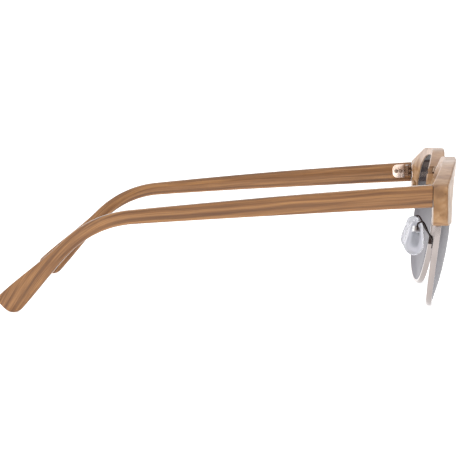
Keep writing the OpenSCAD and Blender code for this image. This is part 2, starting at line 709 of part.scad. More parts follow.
module temple_hinge_screws() {
  color(dark_metal) hinge_frame() temple_screw_places() difference() {
    union() {
      rod_x(leaf_screw_r, -0.2, leaf_t + leaf_screw_l);
      rod_x(leaf_head_r, -0.3, -seat_gap);
    }
    box([-cut, -0.1, -2], [-0.2, 0.1, 2]);
  }
}
module temple() {
  color(wood) difference() {
    translate([0, 0, hinge_z]) rotate([-temple_drop, 0, 0]) skin(level_rings);
    box([-trim, -trim, -trim], [trim, butt_gap, trim]);
    hinge_frame() {
      translate([0, 0, -trim / 2]) cylinder(r = knuckle_r + 2 * move_gap, h = trim);
      temple_leaf_shape(seat_gap);
      temple_screw_places() rod_x(leaf_screw_r + seat_gap, 0, leaf_t + leaf_screw_l + seat_gap);
    }
  }
}

// Pad frame: X points away from the nose, Y back along the pad screw and Z up the pad
pivot_at = [pivot_x, pivot_y, pivot_z];
module pad_frame() {
  translate(pivot_at) rotate([pad_pitch, -pad_lean, -pad_splay]) children();
}
function turn_y(p, a) = [p.x * cos(a) + p.z * sin(a), p.y, p.z * cos(a) - p.x * sin(a)];
function in_pad(p) = turn_z(turn_y(turn_x(p, pad_pitch), -pad_lean), -pad_splay) + pivot_at;

// Wire from a foot on the eyewire up over a loop and down to the pad box
foot_d = 0.6 * rim_d;
foot_back = foot_d / 4;
foot_top = rim_point(foot_angle, rim_t + seat_gap + foot_w / 2, rim_back - wire_r)
  + [0, 0, foot_h / 2 - wire_r];
wire_end = in_pad([box_w / 2 + seat_gap + wire_r * 1.1, 0, 0]);
loop_top = [wire_end.x, mix(foot_top.y, wire_end.y, 0.67), pivot_z + loop_rise];
// A point part of the way from a to b, with its own share along each axis
end_plate_h = 0.6 * box_w;
function partway(a, b, t) = [mix(a.x, b.x, t.x), mix(a.y, b.y, t.y), mix(a.z, b.z, t.z)];
wire_line = smooth_line([
  foot_top,
  partway(foot_top, loop_top, [0, 0.2, 0.22]),
  partway(foot_top, loop_top, [0.2, 0.46, 0.44]),
  partway(foot_top, loop_top, [0.6, 0.7, 0.74]),
  loop_top,
  partway(loop_top, wire_end, [0.6, 0.8, 0.14]),
  partway(loop_top, wire_end, [1, 1, 0.55]),
  wire_end
], sweep_n);
function wire_ring(i) =
  let (last = len(wire_line) - 1, d = unit(wire_line[min(last, i + 1)] - wire_line[max(0, i - 1)]))
  let (u = unit(cross(d, [1, 0.3, 0])), v = cross(d, u))
  [for (k = [0:wire_n - 1]) let (a = -360 * k / wire_n) wire_line[i] + wire_r * (u * cos(a) + v * sin(a))];
module pad_arm() {
  color(dark_metal) {
    skin([for (i = [0:len(wire_line) - 1]) wire_ring(i)]);
    beside_frame(foot_angle, rim_t + seat_gap, rim_back)
      box([0, -foot_d, -foot_h / 2], [foot_w, foot_back, foot_h / 2]);
    pad_frame() box([box_w / 2 + seat_gap, -end_plate_h / 2, -end_plate_h / 2],
      [box_w / 2 + seat_gap + end_plate_t, end_plate_h / 2, end_plate_h / 2]);
  }
}
stem_t = box_w - 2 * cheek_t - 2 * move_gap;
boss_r = box_w / 2 - cheek_t - move_gap;
module pad_box() {
  h = box_w / 2;
  color(metal) pad_frame() difference() {
    box([-h, -h, -h], [h, h, h]);
    box([-h - cut, -h + cheek_t, -h - cut], [h - cheek_t, h - cheek_t, h + cut]);
    rod_y(pad_screw_r + seat_gap / 2, -box_w, box_w);
  }
}
module pad_screw() {
  color(metal) pad_frame() {
    rod_y(pad_screw_r, -box_w / 2 - 0.1, box_w / 2);
    rod_y(pad_screw_r * 1.8, -box_w / 2 - 0.4, -box_w / 2 - 0.05);
  }
}
// Plate moulded into the pad, with the stem that the pad screw goes through
pad_x = -box_w / 2 - pad_gap - pad_t / 2;
module core_plate(gap) {
  for (z = [-1, 1]) translate([0, -pad_ahead, z * (core_h - core_w) / 2 - pivot_rise])
    rod_x(core_w / 2 + gap, pad_x - core_t / 2 - gap, pad_x + core_t / 2 + gap);
  box([pad_x - core_t / 2 - gap, -core_w / 2 - gap - pad_ahead, -(core_h - core_w) / 2 - pivot_rise],
    [pad_x + core_t / 2 + gap, core_w / 2 + gap - pad_ahead, (core_h - core_w) / 2 - pivot_rise]);
}
module core_stem(gap) {
  box([pad_x - gap, -stem_t / 2 - gap, -boss_r - gap], [0, stem_t / 2 + gap, boss_r + gap]);
}
module pad_core() {
  color(clear_pad) pad_frame() difference() {
    union() {
      core_plate(0);
      core_stem(0);
      rod_y(boss_r, -stem_t / 2, stem_t / 2);
    }
    rod_y(pad_screw_r + run_gap, -box_w, box_w);
  }
}

// Nose pad: a drop shape, wide at the bottom, domed towards the nose
pad_n = 32;
function drop(a) =
  let (low_r = pad_w / 2, top_r = pad_top_w / 2, low_z = low_r - pad_h / 2, top_z = pad_h / 2 - top_r)
  let (tip = asin((low_r - top_r) / (top_z - low_z)))
  sin(a) > sin(tip) ? [top_r * cos(a), top_z + top_r * sin(a)] : [low_r * cos(a), low_z + low_r * sin(a)];
pad_domes = [
  [0.35, -0.5], [0.72, -0.43], [0.92, -0.25], [1, 0.02], [0.95, 0.28], [0.8, 0.43], [0.4, 0.5]
];
function pad_ring(d) = [
  for (i = [0:pad_n - 1]) let (p = drop(-360 * (i + 0.5) / pad_n) * d[0])
    [pad_x + pad_t * d[1], p.x - pad_ahead, p.y - pivot_rise]
];
module nose_pad() {
  color(clear_pad) pad_frame() difference() {
    skin([for (d = pad_domes) pad_ring(d)]);
    core_plate(seat_gap);
    core_stem(seat_gap);
  }
}

bridge();
left() brow();  // brow_left
right() brow();  // brow_right
left() brow_screw();  // brow_screw_left
right() brow_screw();  // brow_screw_right
left() eyewire();  // eyewire_left
right() eyewire();  // eyewire_right
left() eyewire_screw();  // eyewire_screw_left
right() eyewire_screw();  // eyewire_screw_right
left() lens();  // lens_left
right() lens();  // lens_right
left() front_hinge();  // front_hinge_left
right() front_hinge();  // front_hinge_right
left() front_hinge_screws();  // front_hinge_screws_left
right() front_hinge_screws();  // front_hinge_screws_right
left() hinge_pin();  // hinge_pin_left
right() hinge_pin();  // hinge_pin_right
left() temple_hinge();  // temple_hinge_left
right() temple_hinge();  // temple_hinge_right
left() temple_hinge_screws();  // temple_hinge_screws_left
right() temple_hinge_screws();  // temple_hinge_screws_right
left() temple();  // temple_left
right() temple();  // temple_right
left() pad_arm();  // pad_arm_left
right() pad_arm();  // pad_arm_right
left() pad_box();  // pad_box_left
right() pad_box();  // pad_box_right
left() pad_screw();  // pad_screw_left
right() pad_screw();  // pad_screw_right
left() pad_core();  // pad_core_left
right() pad_core();  // pad_core_right
left() nose_pad();  // nose_pad_left
right() nose_pad();  // nose_pad_right
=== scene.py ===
"""Browline sunglasses, dressed for the render: wood, polished metal, grey lenses and clear pads."""
import math

import bmesh
import bpy
from mathutils import Matrix, Vector


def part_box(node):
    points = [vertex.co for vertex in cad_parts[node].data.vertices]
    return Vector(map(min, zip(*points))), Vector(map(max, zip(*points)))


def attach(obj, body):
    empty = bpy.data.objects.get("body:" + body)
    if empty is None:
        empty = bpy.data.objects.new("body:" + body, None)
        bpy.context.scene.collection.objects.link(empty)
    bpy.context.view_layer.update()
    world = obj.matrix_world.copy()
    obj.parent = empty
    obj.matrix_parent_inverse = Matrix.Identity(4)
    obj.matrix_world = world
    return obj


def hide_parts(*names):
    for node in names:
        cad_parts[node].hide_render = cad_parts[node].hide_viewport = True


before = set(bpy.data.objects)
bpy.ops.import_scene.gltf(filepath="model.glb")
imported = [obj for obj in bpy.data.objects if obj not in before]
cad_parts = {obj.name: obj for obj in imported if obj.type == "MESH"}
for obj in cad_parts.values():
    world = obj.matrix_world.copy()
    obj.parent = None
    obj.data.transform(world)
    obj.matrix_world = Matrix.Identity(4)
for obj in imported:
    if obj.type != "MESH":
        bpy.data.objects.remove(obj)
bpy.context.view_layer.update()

# Sizes in millimetres and angles in degrees, the same as the model's own
LENS_W, LENS_H, BRIDGE_GAP, LENS_R, LENS_T = 49.0, 46.4, 22.0, 100.0, 1.8
UPPER_SQUARE, LOWER_SQUARE = 2.55, 2.15
TILT, WRAP, LENS_LEAD = 7.2, 4.1, 7.4
RIM_T, RIM_D, GROOVE_D, REST_FLAT = 1.1, 2.0, 0.5, 0.2
BLOCK_H, BLOCK_W, BLOCK_ANGLE, CLOSING_GAP, CLOSING_SCREW_R = 4.4, 2.0, 21.0, 0.2, 0.45
FRONT_W, END_DEPTH, END_RISE, END_H, END_ROUND = 140.0, 4.7, 0.7, 14.0, 1.6
BROW_NOSE_H, BROW_MID_H, BROW_TURN_H, BROW_TIP_H, BROW_TIP_ANGLE = 3.8, 2.8, 6.3, 2.1, 149.0
BROW_DEPTH, TIP_DEPTH, NOSE_LEAD, BROW_BULGE, BROW_TILT = 3.9, 5.8, 4.7, 2.1, 2.0
BROW_ROUND, FRONT_LIP, BACK_LIP = 0.6, 0.4, 0.4
BRIDGE_H, BRIDGE_D, BRIDGE_RISE, BRIDGE_BOW = 2.4, 1.7, 2.0, 1.8
LUG_R, LUG_T, LUG_ANGLE, BROW_SCREW_R = 1.7, 0.8, 139.0, 0.5
HINGE_Z, HINGE_LIFT, PIN_BACK, KNUCKLE_R, KNUCKLE_H, KNUCKLES = 39.1, 0.5, 1.45, 1.25, 0.78, 5
PIN_R, PIN_HEAD_R, LEAF_T, LEAF_H, TEMPLE_LEAF_L, FRONT_LEAF_W = 0.5, 0.95, 0.7, 5.0, 4.5, 2.95
LEAF_INLAY, LEAF_HEAD_R, LEAF_ROUND, TEMPLE_SCREW_GAP = 0.2, 0.75, 1.8, 1.65
SHAFT_L, BEND_L, TEMPLE_TIP_L, SHAFT_BOW, BEND_ANGLE = 98.4, 24.0, 30.0, 1.8, 41.5
HINGE_H, SHAFT_MID_H, SHAFT_H, NECK_H, TEMPLE_TIP_H, TEMPLE_BOW = 7.4, 6.3, 4.7, 4.55, 8.7, 2.2
TEMPLE_T, TIP_T, TIP_INSET, TIP_BACK_R, TIP_HEEL_R, TEMPLE_ROUND = 4.0, 3.4, 6.0, 2.3, 4.4, 1.0
PAD_H, PAD_W, PAD_TOP_W, PAD_T, PAD_AHEAD = 12.6, 7.5, 5.0, 2.8, 1.0
PIVOT, PIVOT_RISE, PAD_SPLAY, PAD_LEAN, PAD_PITCH = (12.2, 2.5, 23.6), 2.6, 20.0, 9.0, 12.0
BOX_W, CHEEK_T, WIRE_R, LOOP_RISE, PAD_SCREW_R, PAD_GAP = 2.0, 0.35, 0.32, 2.6, 0.3, 0.25
END_PLATE_T, FOOT_ANGLE, FOOT_H, FOOT_W = 0.6, 194.0, 3.0, 1.0
CORE_T, CORE_H, CORE_W = 0.8, 7.0, 3.0
SEAT, MOVE, BUTT = 0.04, 0.08, 0.2
WOOD_IN = 0.1
MM = 0.001

# Roundings that only the look has
RIM_ROUND, LEAF_EDGE, KNUCKLE_ROUND, LUG_ROUND, BLOCK_ROUND = 0.32, 0.12, 0.17, 0.15, 0.14
WOOD_EDGE, BUTT_ROUND, FOOT_ROUND, PLATE_ROUND, STEM_ROUND = 0.12, 0.3, 0.3, 0.2, 0.08

# Screw heads: radius, lower and upper end, rounding, and the slot's width and depth
HINGE_ALL = KNUCKLES * KNUCKLE_H
PIN_TOP, BROW_HEAD_LOW, PAD_HEAD_LOW = HINGE_ALL / 2 + SEAT, LUG_T + SEAT, BOX_W / 2
CLOSING_HEAD = CLOSING_SCREW_R * 1.9, SEAT, 0.5 + SEAT, 0.16, (0.22, 0.18)
FRONT_LEAF_HEAD = LEAF_HEAD_R, 0.05, 0.38, 0.14, (0.2, 0.14)
TEMPLE_LEAF_HEAD = LEAF_HEAD_R, SEAT, 0.3, 0.12, (0.2, 0.13)
PIN_HEAD = PIN_HEAD_R, PIN_TOP, PIN_TOP + 0.45, 0.16, (0.26, 0.16)
BROW_HEAD = BROW_SCREW_R * 2, BROW_HEAD_LOW, BROW_HEAD_LOW + 0.4, 0.14, (0.24, 0.14)
PAD_HEAD = PAD_SCREW_R * 1.8, PAD_HEAD_LOW, PAD_HEAD_LOW + 0.35, 0.12, (0.16, 0.12)

# How finely the curved forms are divided
STEPS, EDGE_N, BACK_N, TURN_N, ARC_N = 240, 7, 12, 48, 16
SHAFT_STEPS, TIP_STEPS, BRIDGE_STEPS, WIRE_SIDES, PAD_SIDES = 60, 24, 40, 20, 96
BROW_STEPS, WIRE_STEPS, DOME_STEPS = 22, 12, 6
# Keeps a rounding or a web just inside its piece
NEARLY = 0.98


# ---------------------------------------------------------------- points and lines
def turn_x(p, a):
    c, s = math.cos(math.radians(a)), math.sin(math.radians(a))
    return Vector((p[0], p[1] * c - p[2] * s, p[1] * s + p[2] * c))


def turn_z(p, a):
    c, s = math.cos(math.radians(a)), math.sin(math.radians(a))
    return Vector((p[0] * c - p[1] * s, p[0] * s + p[1] * c, p[2]))


def mix(a, b, t):
    return a + (b - a) * t


def partway(a, b, t):
    """Between two points, with a share of its own for each axis."""
    return Vector(mix(a[i], b[i], t[i]) for i in range(3))


def clamp01(t):
    return max(0.0, min(1.0, t))


def ease(t):
    c = clamp01(t)
    return c * c * (3 - 2 * c)


def quarter(n):
    """The angles of a quarter turn in n steps."""
    return [math.pi / 2 * k / n for k in range(n + 1)]


def lookup(t, table):
    """The value at t in a table of (t, value) rows, straight between them."""
    if t <= table[0][0]:
        return table[0][1]
    for (a, va), (b, vb) in zip(table, table[1:]):
        if t <= b:
            return mix(va, vb, (t - a) / (b - a))
    return table[-1][1]


def smooth_line(points, n):
    """A smooth line through guide points, with tangents short enough not to overshoot."""
    p = [Vector(q) for q in points]
    last = len(p) - 1

    def tangent(i):
        a, b = p[max(0, i - 1)], p[min(last, i + 1)]
        before = (p[i] - a).length if i > 0 else (b - p[i]).length
        after = (b - p[i]).length if i < last else before
        return (b - a).normalized() * min(before, after)

    line = []
    for i in range(last):
        for k in range(n):
            t = k / n
            line.append(
                p[i] * (2 * t**3 - 3 * t**2 + 1) + tangent(i) * (t**3 - 2 * t**2 + t)
                + p[i + 1] * (3 * t**2 - 2 * t**3) + tangent(i + 1) * (t**3 - t**2)
            )
    line.append(p[last])
    return line


# ---------------------------------------------------------------- the lens's frame
# Its points are given by f, an angle round the lens, o, a distance outward, and d, a depth behind.
# The outline grows squarer from the height SQUARE_FROM on, over SQUARE_SPAN, both as sines of f.
SQUARE_FROM, SQUARE_SPAN = -0.3, 1.1


def outline_r(f):
    """The radius of the lens's outline, which is squarer above than below."""
    n = mix(LOWER_SQUARE, UPPER_SQUARE, ease((math.sin(math.radians(f)) - SQUARE_FROM) / SQUARE_SPAN))
    c, s = abs(math.cos(math.radians(f))), abs(math.sin(math.radians(f)))
    return ((c * 2 / LENS_W) ** n + (s * 2 / LENS_H) ** n) ** (-1 / n)


def outline(f):
    return Vector((math.cos(math.radians(f)), math.sin(math.radians(f)))) * outline_r(f)


def outward(f):
    d = outline(f + 1) - outline(f - 1)
    return Vector((d.y, -d.x)).normalized()


def sag(r):
    return LENS_R - math.sqrt(LENS_R**2 - r**2)


RIM_FRONT = (LENS_T - RIM_D) / 2
RIM_BACK = RIM_FRONT + RIM_D
RIM_MID = LENS_T / 2


def beside(f, o, d):
    p = outline(f) + outward(f) * o
    return Vector((p.x, sag(outline_r(f)) + d, p.y))


def in_face(p):
    return turn_z(turn_x(p, TILT), WRAP)


LENS_X = (BRIDGE_GAP + LENS_W) / 2
RIM_LOW = min(in_face(beside(f, RIM_T, RIM_FRONT)).z for f in range(0, 360, 5))
LENS_AT = Vector((LENS_X, -LENS_LEAD, -RIM_LOW - REST_FLAT))


def rim_point(f, o, d):
    return in_face(beside(f, o, d)) + LENS_AT


FACE = Matrix.Translation(LENS_AT) @ Matrix.Rotation(math.radians(WRAP), 4, "Z") @ Matrix.Rotation(
    math.radians(TILT), 4, "X"
)


def beside_frame(f, o, d):
    """A place on the rim, with X outward."""
    n = outward(f)
    turn = Matrix.Rotation(-math.atan2(n.y, n.x), 4, "Y")
    return FACE @ Matrix.Translation(beside(f, o, d)) @ turn


# ---------------------------------------------------------------- meshes
SIDES = {"left": 1, "right": -1}
FRONT_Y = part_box("temple_left")[0][1] / MM - BUTT
WELD, WELD_MM, OVERLAP = 1e-7, 1e-5, 0.01
# What lays an upright piece along an axis
ALONG = {
    "X": Matrix.Rotation(math.pi / 2, 4, "Y"),
    "Y": Matrix.Rotation(-math.pi / 2, 4, "X"),
    "Z": Matrix(),
}
pieces = {}


def place(points, side):
    """Millimetres of the left half to metres of the frame, on either side."""
    m = SIDES[side]
    return [(p[0] * MM * m, (p[1] + FRONT_Y) * MM, p[2] * MM) for p in points]


def framed_mesh(name, points, faces, side):
    """A mesh at its place in the frame, with doubled points joined and the faces turned outward."""
    mesh = bpy.data.meshes.new(name)
    mesh.from_pydata(place(points, side), [], faces)
    bm = bmesh.new()
    bm.from_mesh(mesh)
    bmesh.ops.remove_doubles(bm, verts=bm.verts, dist=WELD)
    bmesh.ops.recalc_face_normals(bm, faces=bm.faces)
    bm.to_mesh(mesh)
    bm.free()
    return mesh


def add_object(name, data):
    obj = bpy.data.objects.new(name, data)
    bpy.context.scene.collection.objects.link(obj)
    return obj


def smooth_shaded(mesh, sharp):
    """Smooth shading that breaks at edges sharper than so many degrees."""
    mesh.shade_smooth()
    mesh.set_sharp_from_angle(angle=math.radians(sharp))


def make(name, points, faces, side, body, slot, look, nodes, sharp):
    """A piece of one side that rides on a body and stands for its CAD nodes."""
    if side == "right":
        faces = [tuple(reversed(f)) for f in faces]
    mesh = framed_mesh(name, points, faces, side)
    smooth_shaded(mesh, sharp)
    mesh.materials.append(look)
    obj = add_object(name, mesh)
    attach(obj, body)
    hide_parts(*nodes)
    pieces[name] = obj


def loft(rings):
    """Points and faces of a surface through rings, closed by a flat cap at each end."""
    n, m = len(rings[0]), len(rings)
    faces = [
        (i * n + j, i * n + (j + 1) % n, (i + 1) * n + (j + 1) % n, (i + 1) * n + j)
        for i in range(m - 1)
        for j in range(n)
    ]
    faces += [tuple(range(n - 1, -1, -1)), tuple(range((m - 1) * n, m * n))]
    return [p for r in rings for p in r], faces


def joined(*parts):
    points, faces = [], []
    for p, f in parts:
        k = len(points)
        points += list(p)
        faces += [tuple(i + k for i in face) for face in f]
    return points, faces


def moved(part, matrix):
    return [matrix @ Vector(p) for p in part[0]], part[1]


def from_bmesh(bm):
    bm.verts.index_update()
    out = [v.co.copy() for v in bm.verts], [tuple(v.index for v in f.verts) for f in bm.faces]
    bm.free()
    return out


def block(low, high, round_r=0.0, segments=3):
    """A box with rounded edges."""
    bm = bmesh.new()
    bmesh.ops.create_cube(bm, size=1.0)
    low, high = Vector(low), Vector(high)
    for v in bm.verts:
        v.co = Vector(mix(low[i], high[i], v.co[i] + 0.5) for i in range(3))
    if round_r:
        bmesh.ops.bevel(
            bm, geom=bm.edges[:], offset=round_r, segments=segments, profile=0.5, affect="EDGES"
        )
    return from_bmesh(bm)


def rod(r, z0, z1, round_r=0.0, axis="Z", bore=0.0, rounding=4):
    """A turned piece along an axis, with rounded rims and a bore if it has one."""
    corner = quarter(rounding) if round_r else [0.0]
    e = round_r
    profile = [(bore, z0)]
    profile += [(r - e + e * math.sin(a), z0 + e - e * math.cos(a)) for a in corner]
    profile += [(r - e + e * math.cos(a), z1 - e + e * math.sin(a)) for a in corner]
    profile.append((bore, z1))
    n, points, faces = len(profile), [], []
    for i in range(TURN_N):
        a = 2 * math.pi * i / TURN_N
        points += [Vector((p[0] * math.cos(a), p[0] * math.sin(a), p[1])) for p in profile]
        for j in range(n if bore else n - 1):
            k, i2 = (j + 1) % n, (i + 1) % TURN_N
            faces.append((i * n + j, i2 * n + j, i2 * n + k, i * n + k))
    return moved((points, faces), ALONG[axis])


def slotted_head(r, z0, z1, round_r, slot, axis="Z", turn=0.0):
    """A low round screw head: a disc, and over it two halves beside a slot of a width and a depth."""
    slot_w, slot_d = slot
    parts = [rod(r, z0, z1 - slot_d)]
    bm = bmesh.new()
    points, faces = rod(r, z1 - slot_d - OVERLAP, z1, round_r, rounding=5)
    verts = [bm.verts.new(p) for p in points]
    for f in faces:
        bm.faces.new([verts[i] for i in f])
    bmesh.ops.remove_doubles(bm, verts=bm.verts, dist=WELD_MM)
    for s in (-1, 1):
        half = bm.copy()
        cut = bmesh.ops.bisect_plane(
            half, geom=half.verts[:] + half.edges[:] + half.faces[:],
            plane_co=(0, s * slot_w / 2, 0), plane_no=(0, -s, 0), clear_outer=True,
        )
        edges = [e for e in cut["geom_cut"] if isinstance(e, bmesh.types.BMEdge)]
        bmesh.ops.holes_fill(half, edges=edges)
        parts.append(from_bmesh(half))
    bm.free()
    return moved(joined(*parts), ALONG[axis] @ Matrix.Rotation(math.radians(turn), 4, "Z"))


def carve(obj, cutters, side):
    """Cuts closed meshes out of a piece and leaves the result in its mesh."""
    for points, faces in cutters:
        mesh = framed_mesh("cutter", points, faces, side)
        tool = add_object("cutter", mesh)
        cut = obj.modifiers.new("cut", "BOOLEAN")
        cut.operation, cut.solver, cut.object = "DIFFERENCE", "EXACT", tool
        bpy.context.view_layer.update()
        graph = bpy.context.evaluated_depsgraph_get()
        result = bpy.data.meshes.new_from_object(obj.evaluated_get(graph), depsgraph=graph)
        old = obj.data
        obj.modifiers.clear()
        obj.data = result
        result.name = obj.name
        bpy.data.meshes.remove(old)
        bpy.data.objects.remove(tool)
        bpy.data.meshes.remove(mesh)


# ---------------------------------------------------------------- materials
def material(name, base, metallic=0.0, rough=0.4, **constants):
    """A new material: its node tree and its shader. A constant is a socket's name with _ for a space."""
    mat = bpy.data.materials.new(name)
    mat.use_nodes = True
    shader = mat.node_tree.nodes["Principled BSDF"]
    shader.inputs["Base Color"].default_value = (*base, 1)
    shader.inputs["Metallic"].default_value = metallic
    shader.inputs["Roughness"].default_value = rough
    for key, value in constants.items():
        shader.inputs[key.replace("_", " ")].default_value = value
    return mat, mat.node_tree, shader


def node(tree, kind, inputs=(), **settings):
    """A node's outputs. An input is linked when it is given another node's output, or else set."""
    made = tree.nodes.new("ShaderNode" + kind)
    for key, value in settings.items():
        setattr(made, key, value)
    for key, value in dict(inputs).items():
        if isinstance(value, bpy.types.NodeSocket):
            tree.links.new(value, made.inputs[key])
        else:
            made.inputs[key].default_value = value
    return made.outputs


def calculated(tree, operation, *values):
    return node(tree, "Math", enumerate(values), operation=operation)[0]


def noise(tree, vector, scale, detail, rough=0.5):
    return node(tree, "TexNoise", {"Vector": vector, "Scale": scale, "Detail": detail, "Roughness": rough})


def ramp(tree, factor, stops):
    """The colour of a ramp; a stop's colour is (r, g, b) or one number for a grey."""
    made = tree.nodes.new("ShaderNodeValToRGB")
    elements = made.color_ramp.elements
    while len(elements) < len(stops):
        elements.new(0.5)
    for e, (at, colour) in zip(elements, stops):
        e.position = at
        e.color = (*colour, 1) if isinstance(colour, tuple) else (colour, colour, colour, 1)
    tree.links.new(factor, made.inputs["Fac"])
    return made.outputs["Color"]


# The places of the Mix node's colour inputs and output among all of its sockets
MIX_A, MIX_B, MIX_RESULT = 6, 7, 2


def mixed(tree, share, a, b, blend_type="MIX"):
    """Colour a with a share of b."""
    inputs = {"Factor": share, MIX_A: a, MIX_B: b}
    return node(tree, "Mix", inputs, data_type="RGBA", blend_type=blend_type)[MIX_RESULT]


def bumped(tree, shader, height, strength, distance):
    inputs = {"Height": height, "Strength": strength, "Distance": distance}
    tree.links.new(node(tree, "Bump", inputs)["Normal"], shader.inputs["Normal"])


def srgb(r, g, b):
    return tuple(((c / 255 + 0.055) / 1.055) ** 2.4 if c > 10 else c / 255 / 12.92 for c in (r, g, b))


# Heights and distances in the materials are in metres, and a noise's scale is in turns per metre.
# The temple's figure slopes a little all along, and turns down more and more behind BEND_FROM
BEND_FROM, FIGURE_SLOPE, FIGURE_BEND = 0.031, 0.075, 20.0
# Slow bends in the board, which make the arcs of the figure
SWAY_SCALE, SWAY = 28.0, 0.002
BAND_SCALE, STREAK_SCALE, PORE_SCALE, PORE_LONGER, PORE_SHARE = 820.0, 1400.0, 5600.0, 1.2, 0.45
CLOUD_SCALE, SCRATCH_SCALE, HAZE_SCALE, SILICONE_SCALE = 315.0, 5400.0, 120.0, 260.0
# Bumps: strength and height
PORE_BUMP, SCRATCH_BUMP, SILICONE_BUMP = (0.12, 0.0001), (0.04, 0.00002), (0.08, 0.0001)
# Painted highlight: the brow pieces grow paler between these heights, up to a share, for the light that
# falls on their upper edge
HIGHLIGHT_LOW, HIGHLIGHT_HIGH, HIGHLIGHT_SHARE = 0.041, 0.047, 0.3
# How far a metal's roughness strays from its mean, and the height of the lens's darkest tint
WORN, LENS_TOP = 0.05, 0.047
TEMPLE_TONES, TEMPLE_GRAIN = ((106, 69, 34), (126, 84, 44), (150, 106, 61)), (0.22, 0.016, 1)
BROW_TONES, BROW_GRAIN = ((128, 94, 63), (144, 108, 73), (162, 128, 94)), (0.5, 0.14, 0.16)
# The painted highlight's colour, mixed into the brow pieces towards their upper edge
BROW_TOP_HIGHLIGHT = (206, 184, 174)


def bent_figure(tree, coords):
    """Height plus a part that grows behind the bend's start, so that the figure follows the temple down."""
    at = node(tree, "SeparateXYZ", {0: coords})
    behind = calculated(tree, "MAXIMUM", calculated(tree, "SUBTRACT", at["Y"], BEND_FROM), 0.0)
    square = calculated(tree, "POWER", behind, 2.0)
    sloped = calculated(tree, "MULTIPLY_ADD", at["Y"], FIGURE_SLOPE, at["Z"])
    height = calculated(tree, "MULTIPLY_ADD", square, FIGURE_BEND, sloped)
    return node(tree, "CombineXYZ", {0: at["X"], 1: at["Y"], 2: height})[0]


def wood(name, tones, grain, seed, coat, fine_share, bent=False, top=None):
    """Wood in object space.

    tones are dark, middle and light, grain is how fast the figure changes along each axis, seed is its
    place, fine_share is how strongly the streaks show, and top is a painted highlight: a paler tone
    mixed in at the upper edge for the light from above.
    """
    dark, mid, light = (srgb(*tone) for tone in tones)
    mat, tree, shader = material(
        name, mid, Specular_IOR_Level=0.2, Coat_Weight=coat, Coat_Roughness=0.14, Coat_IOR=1.5
    )
    coords = node(tree, "TexCoord")["Object"]
    figure = bent_figure(tree, coords) if bent else coords
    board = node(tree, "Mapping", {"Vector": figure, "Location": seed})[0]
    sway = noise(tree, board, SWAY_SCALE, 2.0, 0.45)["Color"]
    swayed = node(tree, "VectorMath", {0: sway, 1: (SWAY,) * 3, 2: board}, operation="MULTIPLY_ADD")[0]

    def stretched(scale, detail, rough, longer=1.0):
        """Noise drawn out along the grain; longer draws it out more, but not along an axis of share 1."""
        shares = tuple(scale * (g if g == 1 else g / longer) for g in grain)
        vector = node(tree, "VectorMath", {0: swayed, 1: shares}, operation="MULTIPLY")[0]
        return noise(tree, vector, 1.0, detail, rough)["Fac"]

    bands = stretched(BAND_SCALE, 3.0, 0.6)
    streaks = stretched(STREAK_SCALE, 4.0, 0.62)
    pores = stretched(PORE_SCALE, 2.0, 0.5, PORE_LONGER)
    base = ramp(tree, bands, [(0.34, dark), (0.47, mid), (0.57, light), (0.72, mid)])
    fine = ramp(tree, streaks, [
        (0.37, (0.66, 0.57, 0.48)), (0.47, (0.88, 0.85, 0.81)), (0.55, 1.0), (0.64, (1.2, 1.19, 1.18)),
    ])
    pore = ramp(tree, pores, [(0.30, (0.55, 0.48, 0.42)), (0.40, 1.0)])
    shade = mixed(tree, fine_share, base, fine, "MULTIPLY")
    shade = mixed(tree, PORE_SHARE, shade, pore, "MULTIPLY")
    if top:
        # Painted highlight: paler towards the upper edge, for the light from above
        height = node(tree, "SeparateXYZ", {0: coords})["Z"]
        rise = node(tree, "MapRange", {
            "Value": height, "From Min": HIGHLIGHT_LOW, "From Max": HIGHLIGHT_HIGH, "To Max": HIGHLIGHT_SHARE,
        })["Result"]
        shade = mixed(tree, rise, shade, (*srgb(*top), 1))
    tree.links.new(shade, shader.inputs["Base Color"])
    tree.links.new(ramp(tree, streaks, [(0.3, 0.42), (0.7, 0.3)]), shader.inputs["Roughness"])
    bumped(tree, shader, pores, *PORE_BUMP)
    return mat


def metal(name, base, rough):
    """Polished metal with faint clouding and fine scratches."""
    mat, tree, shader = material(name, base, metallic=1.0)
    coords = node(tree, "TexCoord")["Object"]
    cloud = noise(tree, coords, CLOUD_SCALE, 3.0, 0.6)["Fac"]
    gloss = ramp(tree, cloud, [(0.35, rough - WORN), (0.7, rough + WORN)])
    tree.links.new(gloss, shader.inputs["Roughness"])
    tint = ramp(tree, cloud, [(0.3, tuple(c * 0.93 for c in base)), (0.7, base)])
    tree.links.new(tint, shader.inputs["Base Color"])
    bumped(tree, shader, noise(tree, coords, SCRATCH_SCALE, 2.0)["Fac"], *SCRATCH_BUMP)
    return mat


def tinted_lens():
    """Grey lens, darker and less clear at the top, with a clean polished surface."""
    mat, tree, shader = material(
        "lens_grey", (0.2, 0.19, 0.2),
        IOR=1.5, Specular_IOR_Level=0.0, Coat_Weight=0.25, Coat_Roughness=0.03,
    )
    coords = node(tree, "TexCoord")["Object"]
    height = node(tree, "SeparateXYZ", {0: coords})["Z"]
    share = node(tree, "MapRange", {"Value": height, "From Min": 0.0, "From Max": LENS_TOP})["Result"]
    tint = ramp(tree, share, [
        (0.0, srgb(146, 144, 150)), (0.5, srgb(110, 107, 112)),
        (0.72, srgb(66, 61, 63)), (1.0, srgb(32, 28, 29)),
    ])
    tree.links.new(tint, shader.inputs["Base Color"])
    cover = ramp(tree, share, [(0.0, 0.8), (0.5, 0.86), (0.75, 0.93)])
    tree.links.new(cover, shader.inputs["Alpha"])
    gloss = ramp(tree, noise(tree, coords, HAZE_SCALE, 3.0)["Fac"], [(0.4, 0.02), (0.75, 0.07)])
    tree.links.new(gloss, shader.inputs["Roughness"])
    return mat


